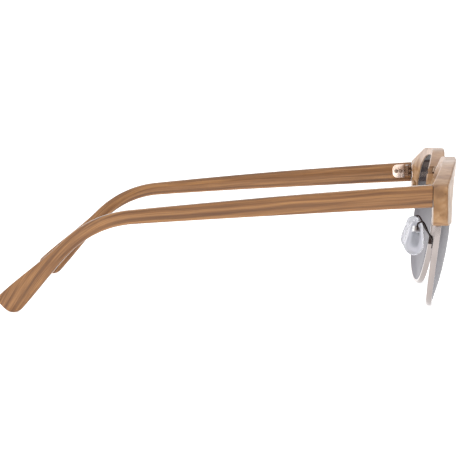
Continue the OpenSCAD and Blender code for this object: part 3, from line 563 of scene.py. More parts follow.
def clear_silicone(name, tint, alpha, rough, through=0.0):
    mat, tree, shader = material(
        name, tint, rough=rough, Alpha=alpha, IOR=1.41, Transmission_Weight=through, Coat_Weight=0.2
    )
    coords = node(tree, "TexCoord")["Object"]
    cloud = noise(tree, coords, SILICONE_SCALE, 3.0, 0.55)["Fac"]
    shade = ramp(tree, cloud, [(0.3, tuple(c * 0.9 for c in tint)), (0.7, tint)])
    tree.links.new(shade, shader.inputs["Base Color"])
    bumped(tree, shader, cloud, *SILICONE_BUMP)
    return mat


def temple_wood(side, seed):
    return wood(f"wood_temple_{side}", TEMPLE_TONES, TEMPLE_GRAIN, seed, 0.6, 0.9, bent=True)


def brow_wood(side, seed):
    # The brow wood has a painted highlight along its upper edge
    return wood(f"wood_brow_painted_highlight_{side}", BROW_TONES, BROW_GRAIN, seed, 0.15, 0.6, top=BROW_TOP_HIGHLIGHT)


MATS = {
    "temple_left": temple_wood("left", (0.31, 0.17, 0.05)),
    "temple_right": temple_wood("right", (0.11, 0.42, 0.23)),
    "brow_left": brow_wood("left", (0.52, 0.23, 0.71)),
    "brow_right": brow_wood("right", (0.83, 0.61, 0.37)),
    "metal": metal("metal_rose", srgb(160, 151, 148), 0.13),
    "bridge": metal("metal_bridge", srgb(168, 146, 128), 0.22),
    "hinge": metal("metal_hinge", srgb(250, 226, 210), 0.16),
    # Painted shade: the knuckles are the hinge's metal made dark, for the shade in their slots and the dark
    # wood they reflect
    "knuckles": metal("metal_knuckles_painted_shade", srgb(112, 86, 68), 0.16),
    # Painted highlight: the pad box's metal is made near white, for the bright reflection it shows
    "box": metal("metal_box_painted_highlight", srgb(252, 251, 250), 0.4),
    "screws": metal("metal_screws", srgb(150, 128, 114), 0.22),
    # Painted shade: the pad arm's wire and foot are made near black, for the dark things they reflect
    "wire": metal("metal_wire_painted_shade", srgb(50, 41, 39), 0.12),
    "lens": tinted_lens(),
    "pad_core": clear_silicone("clear_core", srgb(222, 226, 230), 0.75, 0.1),
    "silicone": clear_silicone("clear_silicone", srgb(236, 236, 242), 0.85, 0.12, 0.65),
}

# ---------------------------------------------------------------- lenses and eyewires
BEVEL = GROOVE_D + 0.1
LENS_RINGS = 18
# The lips of the groove, the closing block's step from the wire's faces, and the roots that overlap
LIP, BLOCK_STEP, BLOCK_ROOT = 0.06, 0.1, 0.3


def lens_mesh():
    """Two dished faces and a bevelled edge, made of one strip for each step round the lens."""
    back_r = LENS_R - LENS_T

    def back(r):
        return LENS_T + back_r - math.sqrt(back_r**2 - r**2)

    shares = [k / LENS_RINGS for k in range(1, LENS_RINGS)]
    points = []
    for i in range(STEPS):
        f = 360 * i / STEPS
        p, r, e = outline(f), outline_r(f), beside(f, -SEAT, 0)
        strip = [Vector((p.x * s, sag(r * s), p.y * s)) for s in shares]
        strip += [e, beside(f, -SEAT, RIM_MID - BEVEL / 2), beside(f, GROOVE_D - SEAT, RIM_MID)]
        strip += [beside(f, -SEAT, RIM_MID + BEVEL / 2), Vector((e.x, back(r), e.z))]
        strip += [Vector((p.x * s, back(r * s), p.y * s)) for s in reversed(shares)]
        points += strip
    n, centre = len(strip), len(points)
    points += [Vector((0, 0, 0)), Vector((0, LENS_T, 0))]
    pairs = [(i, (i + 1) % STEPS) for i in range(STEPS)]
    faces = [(i * n + j, k * n + j, k * n + j + 1, i * n + j + 1) for i, k in pairs for j in range(n - 1)]
    for i, k in pairs:
        faces += [(centre, k * n, i * n), (centre + 1, i * n + n - 1, k * n + n - 1)]
    return moved((points, faces), FACE)


def rim_section():
    """The eyewire's grooved section with rounded outer corners, as (outward, back) points."""
    r = RIM_ROUND
    section = [
        (LIP, RIM_FRONT), (0.0, RIM_FRONT + LIP), (0, RIM_MID - BEVEL / 2), (GROOVE_D, RIM_MID),
        (0, RIM_MID + BEVEL / 2), (0.0, RIM_BACK - LIP), (LIP, RIM_BACK),
    ]
    section += [(RIM_T - r + r * math.sin(a), RIM_BACK - r + r * math.cos(a)) for a in quarter(5)]
    section += [(RIM_T - r + r * math.cos(a), RIM_FRONT + r - r * math.sin(a)) for a in quarter(5)]
    return section


def eyewire_mesh():
    # The loop starts and ends at the saw cut in its closing block, and its lowest part is flat
    half_gap = math.degrees(CLOSING_GAP / 2 / outline_r(BLOCK_ANGLE))
    section = rim_section()
    rings = []
    for i in range(STEPS + 1):
        f = BLOCK_ANGLE + half_gap + (360 - 2 * half_gap) * i / STEPS
        ring = [rim_point(f, o, d) for o, d in section]
        rings.append([Vector((p.x, p.y, max(p.z, 0.0))) for p in ring])
    parts = [loft(rings)]
    for low, high in ((-BLOCK_H / 2, -CLOSING_GAP / 2), (CLOSING_GAP / 2, BLOCK_H / 2)):
        half = block(
            (RIM_T - BLOCK_ROOT, RIM_FRONT + BLOCK_STEP, low),
            (RIM_T + BLOCK_W, RIM_BACK - BLOCK_STEP, high),
            BLOCK_ROUND,
        )
        parts.append(moved(half, beside_frame(BLOCK_ANGLE, 0, 0)))
    return joined(*parts)


def eyewire_screw_mesh():
    at = beside_frame(BLOCK_ANGLE, 0, 0) @ Matrix.Translation((RIM_T + BLOCK_W / 2, RIM_MID, 0))
    head = slotted_head(*CLOSING_HEAD)
    under = at @ Matrix.Translation((0, 0, -BLOCK_H / 2)) @ Matrix.Rotation(math.pi, 4, "X")
    return joined(moved(head, under), moved(rod(CLOSING_SCREW_R, -BLOCK_H / 2, BLOCK_H / 2, 0.05), at))


# ---------------------------------------------------------------- brow pieces
HALF_W = FRONT_W / 2
NOSE_X = LENS_X - 0.38 * LENS_W
LEAN_TOP = LENS_AT.z + LENS_H * 0.55
# The end piece is deeper behind by END_MORE, and the front face starts FACE_IN from the lens's edge.
# Below the angle BACK_ANGLE the back's middle moves to BACK_MID, over BACK_SPAN. BACK_FLAT is how
# flat the slope behind the lens is, from 0, round, to 1.
END_MORE, FACE_IN, BACK_MID, BACK_ANGLE, BACK_SPAN, BACK_FLAT = 0.5, 0.25, 0.5, 46, 12, 0.8


def front_y(x, z):
    s = (x - NOSE_X) / (HALF_W - NOSE_X)
    lean = math.tan(math.radians(BROW_TILT)) * clamp01(1 - s)
    return -END_DEPTH - NOSE_LEAD * (1 - s) - 4 * BROW_BULGE * s * (1 - s) - lean * (z - LEAN_TOP)


def brow_deep(x):
    s, n = (x - LENS_X) / (HALF_W - LENS_X), (LENS_X - x) / (LENS_W / 2)
    if s > 0:
        return mix(BROW_DEPTH, END_DEPTH + END_MORE, s**1.4)
    return mix(BROW_DEPTH, TIP_DEPTH, n * n)


def broad(x):
    """1 over the lens, where the back is one broad slope, and 0 at the end piece."""
    return 1 - ease(4 * (x - LENS_X) / LENS_W - 1)


END_TOP = HINGE_Z + HINGE_H / 2 + END_RISE
END_LOW = END_TOP - END_H
END_ANGLE = math.degrees(math.atan2(END_LOW - LENS_AT.z, LENS_W / 2))


def brow_edge(f, h):
    p = rim_point(f, h, 0)
    return (p.x, p.z, f)


# The outer edge from the nose to the end piece, as x, z and the angle of the rim that it faces
BROW_GUIDE = [
    brow_edge(BROW_TIP_ANGLE, BROW_TIP_H),
    brow_edge(BROW_TIP_ANGLE - 10, mix(BROW_TIP_H, BROW_NOSE_H, 0.7)),
    brow_edge(120, BROW_NOSE_H),
    brow_edge(104, mix(BROW_NOSE_H, BROW_MID_H, 0.5)),
    brow_edge(88, BROW_MID_H),
    brow_edge(73, BROW_MID_H),
    brow_edge(60, mix(BROW_MID_H, BROW_TURN_H, 0.4)),
    brow_edge(48, BROW_TURN_H),
    (HALF_W - 1.3 * END_ROUND, END_TOP, 35),
    (HALF_W, END_TOP - END_ROUND, 31),
    (HALF_W, END_LOW + END_ROUND, END_ANGLE + 2),
    (HALF_W - END_ROUND, END_LOW, END_ANGLE),
]


def brow_ring(row):
    """The section between the rim and one point of the outer edge, seated over the eyewire."""
    x, z, f = min(row[0], HALF_W), row[1], row[2]
    g = SEAT
    p3 = rim_point(f, 0, 0)
    inner = Vector((p3.x, p3.z))
    out = Vector((x, z)) - inner
    reach = out.length
    out.normalize()
    step_out = rim_point(f, 1, 0) - p3
    n = Vector((step_out.x, step_out.z)).normalized()

    def at(d, y):
        return Vector((inner.x + out.x * d, y, inner.y + out.y * d))

    def face(d):
        return front_y(inner.x + out.x * d, inner.y + out.y * d)

    def seat(o, depth):
        p = rim_point(f, o, depth)
        return at((Vector((p.x, p.z)) - inner).dot(n) / out.dot(n), p.y)

    a, b = seat(WOOD_IN, RIM_FRONT - g), seat(RIM_T + g, RIM_FRONT - g)
    c, d = seat(RIM_T + g, RIM_BACK + g), seat(WOOD_IN, RIM_BACK + g)
    lip_y = d.y + BACK_LIP
    edge_y = face(reach) + brow_deep(x)
    b1 = broad(x)
    y1 = edge_y - BROW_ROUND * (1 - b1)
    y2 = mix(edge_y, max(lip_y, edge_y + BROW_ROUND), b1)
    back_in = mix(BROW_ROUND, reach - RIM_T - g - FRONT_LIP, b1)
    mid_y = mix(mix(lip_y, y2, 0.5), BACK_MID, ease((BACK_ANGLE - f) / BACK_SPAN))
    mid_d = mix(WOOD_IN, reach - back_in, 0.5)
    front_in = Vector((a.x, min(front_y(a.x, a.z), a.y - FRONT_LIP), a.z))
    # Small rounding of the inner front edge, beside the lens
    ring = [front_in + (a - front_in).normalized() * WOOD_EDGE]
    for k in range(1, 6):
        d_in = FACE_IN + (reach - BROW_ROUND - FACE_IN) * k / 6
        ring.append(at(d_in, face(d_in)))
    for t in quarter(EDGE_N):
        e = BROW_ROUND * (1 - math.sin(t))
        ring.append(at(reach - e, face(reach - e) + BROW_ROUND * (1 - math.cos(t))))
    for k in range(BACK_N, -1, -1):
        t, u, flat = math.pi / 2 * k / BACK_N, 1 - k / BACK_N, BACK_FLAT * b1
        ring.append(at(
            reach - back_in * mix(1 - math.sin(t), u, flat), mix(y1, y2, mix(math.cos(t), u, flat))
        ))
    for k in range(1, 4):
        ring.append(at(mix(reach - back_in, mid_d, k / 4), mix(y2, mid_y, k / 4)))
    ring += [at(mid_d, mid_y), Vector((d.x, lip_y, d.z)), d, c, b, a]
    return ring


def brow_mesh():
    return loft([brow_ring(row) for row in smooth_line(BROW_GUIDE, BROW_STEPS)])


def lug_frame():
    return beside_frame(LUG_ANGLE, mix(RIM_T, BROW_NOSE_H, 0.5), RIM_BACK + SEAT)


# ---------------------------------------------------------------- temples
TEMPLE_L = SHAFT_L + BEND_L + TEMPLE_TIP_L
MARKS = [0, SHAFT_L, SHAFT_L + BEND_L, TEMPLE_L]
# The first rings behind the butt end, which stand upright there
BUTT_STEPS = (0.0, 0.03, 0.1, 0.2)
BUTT_SHARE, SOFT_SHARE, PATH_STEP = 0.6, 0.8, 0.5
# The search for the temple's slope starts at FIRST_DROP and looks at the last rings only
FIRST_DROP, LAST_RINGS, DROP_ROUNDS = 3.0, 40, 6


def temple_angle(t):
    """The slope down at a distance t along the temple."""
    table = [(0, 0), (MARKS[1], SHAFT_BOW), (MARKS[2], BEND_ANGLE), (TEMPLE_L, BEND_ANGLE)]
    return lookup(t, table)


def temple_height(t):
    if t > MARKS[2]:
        return mix(NECK_H, TEMPLE_TIP_H, ease((t - MARKS[2]) / TEMPLE_TIP_L))
    table = [(0, HINGE_H), (SHAFT_L / 2, SHAFT_MID_H), (MARKS[1], SHAFT_H), (MARKS[2], NECK_H)]
    return lookup(t, table)


def temple_in(t):
    """How far the temple stands inward, less its bow outward."""
    behind, along = clamp01((t - SHAFT_L) / (TEMPLE_L - SHAFT_L)), clamp01(t / TEMPLE_L)
    return TIP_INSET * behind**1.5 - TEMPLE_BOW * math.sin(math.pi * along) ** 2


def temple_stops():
    """The distances of the rings: close together at the butt end and in the round tip."""
    tips = [TEMPLE_L - TIP_HEEL_R * (1 - math.sin(math.radians(a))) for a in range(0, 91, 5)]
    stops = [BUTT + step for step in BUTT_STEPS]
    first = BUTT + BUTT_ROUND
    stops += [first + (SHAFT_L - BUTT - BUTT_ROUND) * i / SHAFT_STEPS for i in range(SHAFT_STEPS)]
    stops += [SHAFT_L + BEND_L * i / SHAFT_STEPS for i in range(SHAFT_STEPS)]
    stops += [mix(SHAFT_L + BEND_L, tips[0], i / TIP_STEPS) for i in range(TIP_STEPS)]
    return stops + tips


def temple_path(stops):
    path, p, last = [], Vector((0, 0)), 0.0
    for t in stops:
        n = max(1, int((t - last) / PATH_STEP))
        for k in range(n):
            a = math.radians(temple_angle(mix(last, t, (k + 0.5) / n)))
            p = p + Vector((math.cos(a), -math.sin(a))) * ((t - last) / n)
        last = t
        path.append(p.copy())
    return path


def drawn_in(r, x):
    """How far a rounding of radius r draws the surface in at a distance x from the end."""
    return r - math.sqrt(r * r - (r - x) ** 2) if x < r else 0.0


def rounded(low, high, w, r, n=7):
    """A rectangle with round corners: down to low, up to high and w to each side."""
    points = []
    for q in range(4):
        for k in range(n + 1):
            a = math.pi / 2 * (q + k / n)
            cx = (w - r) * (1 if q in (0, 3) else -1)
            cy = high - r if q < 2 else r - low
            points.append((cx + r * math.cos(a), cy + r * math.sin(a)))
    return points


def temple_rings():
    stops = temple_stops()
    rings = []
    for t, at in zip(stops, temple_path(stops)):
        a, x, h = math.radians(temple_angle(t)), TEMPLE_L - t, temple_height(t) / 2
        w = mix(TEMPLE_T, TIP_T, clamp01(t / TEMPLE_L)) / 2
        butt = drawn_in(BUTT_ROUND, t - BUTT) * BUTT_SHARE
        w = w - drawn_in(SOFT_SHARE * TEMPLE_ROUND, x) - butt
        high = h - drawn_in(TIP_BACK_R, x) - butt
        low = h - drawn_in(TIP_HEEL_R, x) - butt
        c = Vector((HALF_W - TEMPLE_T / 2 - temple_in(t), at.x, at.y))
        section = rounded(low, high, w, min(TEMPLE_ROUND, w * NEARLY))
        rings.append([c + Vector((px, pz * math.sin(a), pz * math.cos(a))) for px, pz in section])
    return rings


def settled_drop(rings):
    """The slope at which the temple's tip touches the table."""
    drop = FIRST_DROP
    points = [p for r in rings[-LAST_RINGS:] for p in r]
    for _ in range(DROP_ROUNDS):
        low = min((turn_x(p, -drop) for p in points), key=lambda p: p.z)
        drop += math.degrees(math.atan2(low.z + HINGE_Z, low.y))
    return drop


LEVEL_RINGS = temple_rings()
DROP = settled_drop(LEVEL_RINGS)


def temple_mesh():
    lift = Vector((0, 0, HINGE_Z))
    rings = [[turn_x(p, -DROP) + lift for p in r] for r in LEVEL_RINGS]
    # The butt end is upright, a little behind the end piece
    for ring, step in zip(rings, BUTT_STEPS):
        for p in ring:
            p.y = BUTT + step
    return loft(rings)


# ---------------------------------------------------------------- hinges
PIN = Matrix.Translation((HALF_W - TEMPLE_T - KNUCKLE_R - SEAT, PIN_BACK, HINGE_Z + HINGE_LIFT))
HINGE = PIN @ Matrix.Rotation(math.radians(-DROP), 4, "X")
LEAF_Y = KNUCKLE_R + 2 * MOVE
LEAF_X = KNUCKLE_R + SEAT - LEAF_T + LEAF_INLAY
# What joins a knuckle to its leaf is a little lower than the knuckle and reaches into the leaf
WEB_ROUND, WEB_LOWER, WEB_X, WEB_Y, WEB_OVER = 0.06, 0.01, 0.5, 0.3, 0.3
FRONT_PLAY, TEMPLE_PLAY, LEAF_OVER, LEAF_HEAD_IN = 0.02, 0.05, 0.03, 0.1


def knuckle_span(i):
    low = -HINGE_ALL / 2 + i * KNUCKLE_H
    over, under = (MOVE / 2 if i > 0 else 0), (MOVE / 2 if i < KNUCKLES - 1 else 0)
    return low + over, low + KNUCKLE_H - under


def knuckle(i, play, web_low, web_high):
    """A knuckle with play round the pin, and the web that joins it to its leaf."""
    low, high = knuckle_span(i)
    return joined(
        rod(KNUCKLE_R, low, high, KNUCKLE_ROUND, bore=PIN_R + play, rounding=5),
        block((*web_low, low + WEB_LOWER), (*web_high, high - WEB_LOWER), WEB_ROUND),
    )


def front_hinge_mesh():
    low = (-FRONT_LEAF_W, -PIN_BACK - LEAF_T, -LEAF_H / 2)
    return block(low, (KNUCKLE_R, -PIN_BACK + LEAF_OVER, LEAF_H / 2), LEAF_EDGE)


def front_knuckles_mesh():
    side, back = KNUCKLE_R * NEARLY, -PIN_BACK - LEAF_T / 2
    return joined(*[knuckle(i, FRONT_PLAY, (-side, back), (side, -0.1)) for i in range(0, KNUCKLES, 2)])


def temple_hinge_mesh():
    """A plate with rounded rear corners and softened edges."""
    half_h, e = LEAF_H / 2, LEAF_EDGE
    corner_y, corner_z = LEAF_Y + TEMPLE_LEAF_L - LEAF_ROUND, LEAF_H / 2 - LEAF_ROUND
    edge = [Vector((LEAF_Y, -half_h))]
    for start, z in ((-90, -corner_z), (0, corner_z)):
        for k in range(ARC_N + 1):
            a = math.radians(start + 90 * k / ARC_N)
            edge.append(Vector((corner_y + LEAF_ROUND * math.cos(a), z + LEAF_ROUND * math.sin(a))))
    edge.append(Vector((LEAF_Y, half_h)))
    middle = LEAF_Y + TEMPLE_LEAF_L / 2
    rings = []
    for a in quarter(4):
        inset, x = e * (1 - math.sin(a)), LEAF_X + e * (1 - math.cos(a))
        rings.append([
            Vector((x, p.x - math.copysign(inset, p.x - middle), p.y * (1 - inset / half_h))) for p in edge
        ])
    rings.append([Vector((LEAF_X + LEAF_T, p.x, p.y)) for p in edge])
    return loft(rings)


def temple_knuckles_mesh():
    low, high = (WEB_X, WEB_Y), (KNUCKLE_R, LEAF_Y + WEB_OVER)
    return joined(*[knuckle(i, TEMPLE_PLAY, low, high) for i in range(1, KNUCKLES - 1, 2)])


def front_screws_mesh():
    x = -FRONT_LEAF_W + LEAF_HEAD_R + LEAF_HEAD_IN
    heads = []
    for side, turn in ((-1, 30), (1, -50)):
        head = slotted_head(*FRONT_LEAF_HEAD, "Y", turn)
        heads.append(moved(head, Matrix.Translation((x, -PIN_BACK, side * LEAF_H / 4))))
    return joined(*heads)


def temple_screws_mesh():
    y = LEAF_Y + LEAF_HEAD_R + LEAF_T
    inward = Matrix.Rotation(math.pi, 4, "Z")
    heads = []
    for i, turn in ((0, 15), (1, 70)):
        head = slotted_head(*TEMPLE_LEAF_HEAD, "X", turn)
        heads.append(moved(head, Matrix.Translation((LEAF_X, y + i * TEMPLE_SCREW_GAP, 0)) @ inward))
    return joined(*heads)


def hinge_pin_mesh():
    return joined(slotted_head(*PIN_HEAD, turn=35), rod(PIN_R, -HINGE_ALL / 2, PIN_TOP, 0.1))


# ---------------------------------------------------------------- bridge
# The bar's ends as shares of the lug's radius, of its own height and of the lug's thickness
BAR_END, BAR_LOWER, BAR_THIN, BAR_ROUND = 0.4, 0.8, 0.95, 0.7


def bridge_mesh():
    """A bar that bows forward and up between two lugs behind the brow pieces."""
    lug_at = rim_point(LUG_ANGLE, mix(RIM_T, BROW_NOSE_H, 0.5), RIM_BACK + SEAT + LUG_T / 2)
    end = Vector((lug_at.x - LUG_R * BAR_END, lug_at.y, lug_at.z))
    rings = []
    for i in range(-BRIDGE_STEPS, BRIDGE_STEPS + 1):
        s = i / BRIDGE_STEPS
        rise = 1 - s * s
        h = BRIDGE_H * mix(1, BAR_LOWER, s * s) / 2
        c = Vector((end.x * s, end.y - BRIDGE_BOW * rise, end.z + BRIDGE_RISE * rise))
        slope = math.atan(2 * BRIDGE_RISE * s / end.x)
        d = mix(BRIDGE_D, LUG_T * BAR_THIN, abs(s) ** 3) / 2
        tilt = math.tan(math.radians(TILT)) * s * s
        rings.append([
            c + Vector((pz * math.sin(slope), -px - pz * tilt, pz * math.cos(slope)))
            for px, pz in rounded(h, h, d, d * BAR_ROUND)
        ])
    lug = moved(rod(LUG_R, 0, LUG_T, LUG_ROUND, "Y"), lug_frame())
    other = [Vector((-p[0], p[1], p[2])) for p in lug[0]], [tuple(reversed(f)) for f in lug[1]]
    return joined(loft(rings), lug, other)


def brow_screw_mesh():
    return moved(slotted_head(*BROW_HEAD, "Y", turn=20), lug_frame())


# ---------------------------------------------------------------- nose pads and their arms
LEAN = Matrix.Rotation(math.radians(-PAD_LEAN), 4, "Y") @ Matrix.Rotation(math.radians(PAD_PITCH), 4, "X")
PAD = Matrix.Translation(PIVOT) @ Matrix.Rotation(math.radians(-PAD_SPLAY), 4, "Z") @ LEAN
PAD_X = -BOX_W / 2 - PAD_GAP - PAD_T / 2
# The pad's shape through its thickness, as (share of the outline, share of the thickness)
DOMES = (
    (0.06, -0.5), (0.35, -0.49), (0.72, -0.43), (0.92, -0.25), (1, 0.02), (0.95, 0.28), (0.8, 0.43),
    (0.4, 0.495), (0.06, 0.5),
)


def wire_line():
    """The wire's middle: up from its foot on the eyewire, over a loop, and down to the end plate."""
    foot_top = rim_point(FOOT_ANGLE, RIM_T + SEAT + FOOT_W / 2, RIM_BACK - WIRE_R)
    foot_top += Vector((0, 0, FOOT_H / 2 - WIRE_R))
    end = PAD @ Vector((BOX_W / 2 + SEAT + WIRE_R * 1.1, 0, 0))
    loop_top = Vector((end.x, mix(foot_top.y, end.y, 0.67), PIVOT[2] + LOOP_RISE))
    return smooth_line([
        foot_top,
        partway(foot_top, loop_top, (0, 0.2, 0.22)),
        partway(foot_top, loop_top, (0.2, 0.46, 0.44)),
        partway(foot_top, loop_top, (0.6, 0.7, 0.74)),
        loop_top,
        partway(loop_top, end, (0.6, 0.8, 0.14)),
        partway(loop_top, end, (1, 1, 0.55)),
        end,
    ], WIRE_STEPS)


def pad_arm_mesh():
    line = wire_line()
    turns = [2 * math.pi * k / WIRE_SIDES for k in range(WIRE_SIDES)]
    rings = []
    for i, p in enumerate(line):
        d = (line[min(len(line) - 1, i + 1)] - line[max(0, i - 1)]).normalized()
        u = d.cross(Vector((1, 0.3, 0))).normalized()
        v = d.cross(u)
        rings.append([p + (u * math.cos(a) - v * math.sin(a)) * WIRE_R for a in turns])
    foot_d = 0.6 * RIM_D
    foot = block((0, -foot_d, -FOOT_H / 2), (FOOT_W, foot_d / 4, FOOT_H / 2), FOOT_ROUND, 5)
    return joined(loft(rings), moved(foot, beside_frame(FOOT_ANGLE, RIM_T + SEAT, RIM_BACK)))


def pad_plate_mesh():
    x, h = BOX_W / 2 + SEAT, 0.3 * BOX_W
    return moved(block((x, -h, -h), (x + END_PLATE_T, h, h), PLATE_ROUND, 5), PAD)


def pad_box_mesh():
    """Two cheeks and the wall between them."""
    h, inside = BOX_W / 2, BOX_W / 2 - CHEEK_T
    walls = (((-h, -h, -h), (h, -inside, h)), ((-h, inside, -h), (h, h, h)), ((inside, -h, -h), (h, h, h)))
    return moved(joined(*[block(low, high, 0.1) for low, high in walls]), PAD)


def pad_screw_mesh():
    head = moved(slotted_head(*PAD_HEAD, "Y", turn=10), Matrix.Rotation(math.pi, 4, "Z"))
    return moved(joined(head, rod(PAD_SCREW_R, -BOX_W / 2 - 0.1, BOX_W / 2, 0.03, "Y")), PAD)


def drop_shape(a):
    """The pad's outline, wide below and narrow above, at an angle round it."""
    low_r, top_r = PAD_W / 2, PAD_TOP_W / 2
    low_z, top_z = low_r - PAD_H / 2, PAD_H / 2 - top_r
    tip = math.asin((low_r - top_r) / (top_z - low_z))
    if math.sin(a) > math.sin(tip):
        return top_r * math.cos(a), top_z + top_r * math.sin(a)
    return low_r * math.cos(a), low_z + low_r * math.sin(a)


def nose_pad_mesh():
    edge = [drop_shape(-2 * math.pi * (i + 0.5) / PAD_SIDES) for i in range(PAD_SIDES)]
    rings = []
    for share, depth, _ in smooth_line([(*dome, 0) for dome in DOMES], DOME_STEPS):
        rings.append([
            Vector((PAD_X + PAD_T * depth, x * share - PAD_AHEAD, z * share - PIVOT_RISE)) for x, z in edge
        ])
    return moved(loft(rings), PAD)


def pad_core_mesh():
    """The long plate inside the pad, with a stem and a round boss between the box's cheeks."""
    z = (CORE_H - CORE_W) / 2
    edge = []
    for q, cz in ((0, z), (1, -z)):
        for k in range(ARC_N + 1):
            a = math.pi * q + math.pi * k / ARC_N
            edge.append((CORE_W / 2 * math.cos(a) - PAD_AHEAD, cz + CORE_W / 2 * math.sin(a) - PIVOT_RISE))
    rings = [[Vector((PAD_X + x, p[0], p[1])) for p in edge] for x in (-CORE_T / 2, CORE_T / 2)]
    stem_t = BOX_W - 2 * CHEEK_T - 2 * MOVE
    boss = BOX_W / 2 - CHEEK_T - MOVE
    stem = block((PAD_X, -stem_t / 2, -boss), (0, stem_t / 2, boss), STEM_ROUND)
    return moved(joined(loft(rings), stem, rod(boss, -stem_t / 2, stem_t / 2, 0.05, "Y")), PAD)


# ---------------------------------------------------------------- building every piece
def both_sides(name, mesh, body, slot, mat, sharp=35.0, of=None):
    """The piece on both sides, for the node of its own name or of another."""
    for side in SIDES:
        where = body if body == "front" else f"{body}_{side}"
        look = MATS[mat] if mat in MATS else MATS[f"{mat}_{side}"]
        make(f"{name}_{side}_look", *mesh, side, where, slot, look, [f"{of or name}_{side}"], sharp)


def on_hinge(name, mesh, body, slot, mat, of=None):
    both_sides(name, moved(mesh, HINGE), body, slot, mat, of=of)


both_sides("brow", brow_mesh(), "front", "wood", "brow", 40.0)
both_sides("eyewire", eyewire_mesh(), "front", "metal", "metal", 40.0)
both_sides("eyewire_screw", eyewire_screw_mesh(), "front", "metal", "metal")
both_sides("lens", lens_mesh(), "front", "lens", "lens", 25.0)
both_sides("temple", temple_mesh(), "temple", "wood", "temple", 50.0)
on_hinge("front_hinge", front_hinge_mesh(), "front", "hinge", "hinge")
on_hinge("temple_hinge", temple_hinge_mesh(), "temple", "hinge", "hinge")
on_hinge("front_knuckles", front_knuckles_mesh(), "front", "hinge", "knuckles", of="front_hinge")
on_hinge("temple_knuckles", temple_knuckles_mesh(), "temple", "hinge", "knuckles", of="temple_hinge")
on_hinge("hinge_pin", hinge_pin_mesh(), "front", "metal", "metal")
on_hinge("front_hinge_screws", front_screws_mesh(), "front", "screws", "screws")
on_hinge("temple_hinge_screws", temple_screws_mesh(), "temple", "screws", "screws")
make("bridge_look", *bridge_mesh(), "left", "front", "metal", MATS["bridge"], ["bridge"], 40.0)
both_sides("brow_screw", brow_screw_mesh(), "front", "metal", "bridge")
both_sides("pad_arm", pad_arm_mesh(), "front", "wire", "wire", 50.0)
both_sides("pad_plate", pad_plate_mesh(), "front", "wire", "metal", 50.0, of="pad_arm")
both_sides("pad_box", pad_box_mesh(), "front", "metal", "box")
both_sides("pad_screw", pad_screw_mesh(), "front", "metal", "screws")
both_sides("pad_core", pad_core_mesh(), "pad", "pad_core", "pad_core")
both_sides("nose_pad", nose_pad_mesh(), "pad", "silicone", "silicone", 60.0)

# Seats cut into the brow pieces: the level back of the end piece, the hinge leaf, the closing block
# and the bridge's lug. Each cutter reaches well past the wood.
BACK_CUT = (40, 0, 20), (80, 4, 60)
BLOCK_CUT_X, BLOCK_CUT_UNDER, BLOCK_CUT_BACK, BLOCK_PLAY, LUG_CUT_D = 0.5, 7.4, 20, 0.1, 6
seats = [
    block(*BACK_CUT),
    moved(block(
        (-FRONT_LEAF_W - SEAT, -PIN_BACK - LEAF_T - SEAT, -LEAF_H / 2 - SEAT),
        (KNUCKLE_R + SEAT, PIN_BACK, LEAF_H / 2 + SEAT),
    ), HINGE),
    moved(block(
        (BLOCK_CUT_X, RIM_FRONT - 2 * SEAT, -BLOCK_H / 2 - BLOCK_CUT_UNDER),
        (RIM_T + BLOCK_W + BLOCK_PLAY, BLOCK_CUT_BACK, BLOCK_H / 2 + BLOCK_PLAY),
    ), beside_frame(BLOCK_ANGLE, 0, 0)),
    moved(rod(LUG_R + SEAT, 0, LUG_CUT_D, axis="Y"), lug_frame()),
]
for side in SIDES:
    brow = pieces[f"brow_{side}_look"]
    carve(brow, seats, side)
    smooth_shaded(brow.data, 35.0)

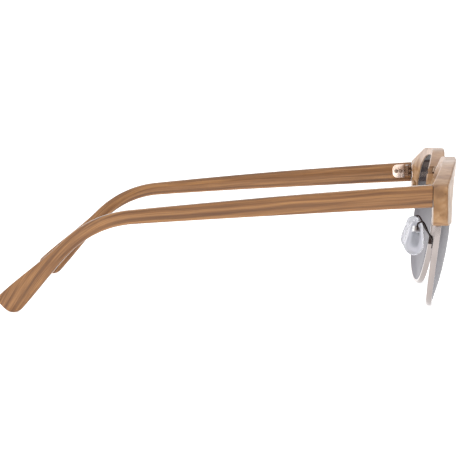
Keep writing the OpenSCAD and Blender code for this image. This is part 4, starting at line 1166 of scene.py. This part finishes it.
# ---------------------------------------------------------------- camera, floor and light
# The photograph's width and focal length in pixels. The camera's place is in metres, but for
# how far it stands behind the front in millimetres, and its angles are in radians.
FRAME_PX, FOCAL_PX, SENSOR = 457.0, 2276.0, 36.0
EYE_X, EYE_BEHIND, EYE_Z, PAN, PITCH, CLIP = -0.808, 45.7, 0.0906, 0.02818, 0.0839, 0.01
camera_data = bpy.data.cameras.new("camera")
camera = add_object("camera", camera_data)
camera_data.sensor_width = SENSOR
camera_data.sensor_height = SENSOR
camera_data.lens = FOCAL_PX / FRAME_PX * SENSOR
camera_data.clip_start = CLIP
camera.location = (EYE_X, (FRONT_Y + EYE_BEHIND) * MM, EYE_Z)
view = Vector((1.0, math.tan(PAN), -math.tan(PITCH)))
camera.rotation_euler = view.to_track_quat("-Z", "Y").to_euler()
bpy.context.scene.camera = camera

# Half the floor's width and its place just under the glasses, in metres
FLOOR_HALF, FLOOR_Z = 3, -1e-5
floor_mesh = bpy.data.meshes.new("floor")
floor_mesh.from_pydata(
    [(x * FLOOR_HALF, y * FLOOR_HALF, FLOOR_Z) for x, y in ((-1, -1), (1, -1), (1, 1), (-1, 1))],
    [], [(0, 1, 2, 3)],
)
floor = add_object("floor", floor_mesh)
floor_look = material(
    "floor_white", (0.97, 0.97, 0.97), rough=0.9, Emission_Color=(1, 1, 1, 1), Emission_Strength=0.6
)[0]
floor_mesh.materials.append(floor_look)

# The studio is white all round but for a side ahead of the glasses, which is grey from GREY_ALL on
SKY_STRENGTH, GREY_ALL, GREY_NONE = 1.35, -0.75, -0.08
world = bpy.data.worlds.new("studio")
bpy.context.scene.world = world
world.use_nodes = True
studio = world.node_tree
sky = studio.nodes["Background"]
sky.inputs["Strength"].default_value = SKY_STRENGTH
way = node(studio, "SeparateXYZ", {0: node(studio, "TexCoord")["Generated"]})["Y"]
ahead = node(studio, "MapRange", {"Value": way, "From Min": GREY_ALL, "From Max": GREY_NONE})["Result"]
studio.links.new(ramp(studio, ahead, [(0.0, 0.3), (0.6, 0.42), (1.0, 1.0)]), sky.inputs["Color"])


def area_light(name, at, size, power):
    """A soft square light that faces the glasses."""
    data = bpy.data.lights.new(name, "AREA")
    data.energy, data.size = power, size
    light = add_object(name, data)
    light.location = at
    light.rotation_euler = (LIT - Vector(at)).to_track_quat("-Z", "Y").to_euler()


LIT = Vector((0, 0, 0.02))
area_light("key", (-0.5, -0.5, 0.9), 0.6, 2.0)
area_light("fill", (-0.7, 0.7, 0.5), 0.8, 0.6)

bpy.context.scene.view_settings.view_transform = "Standard"
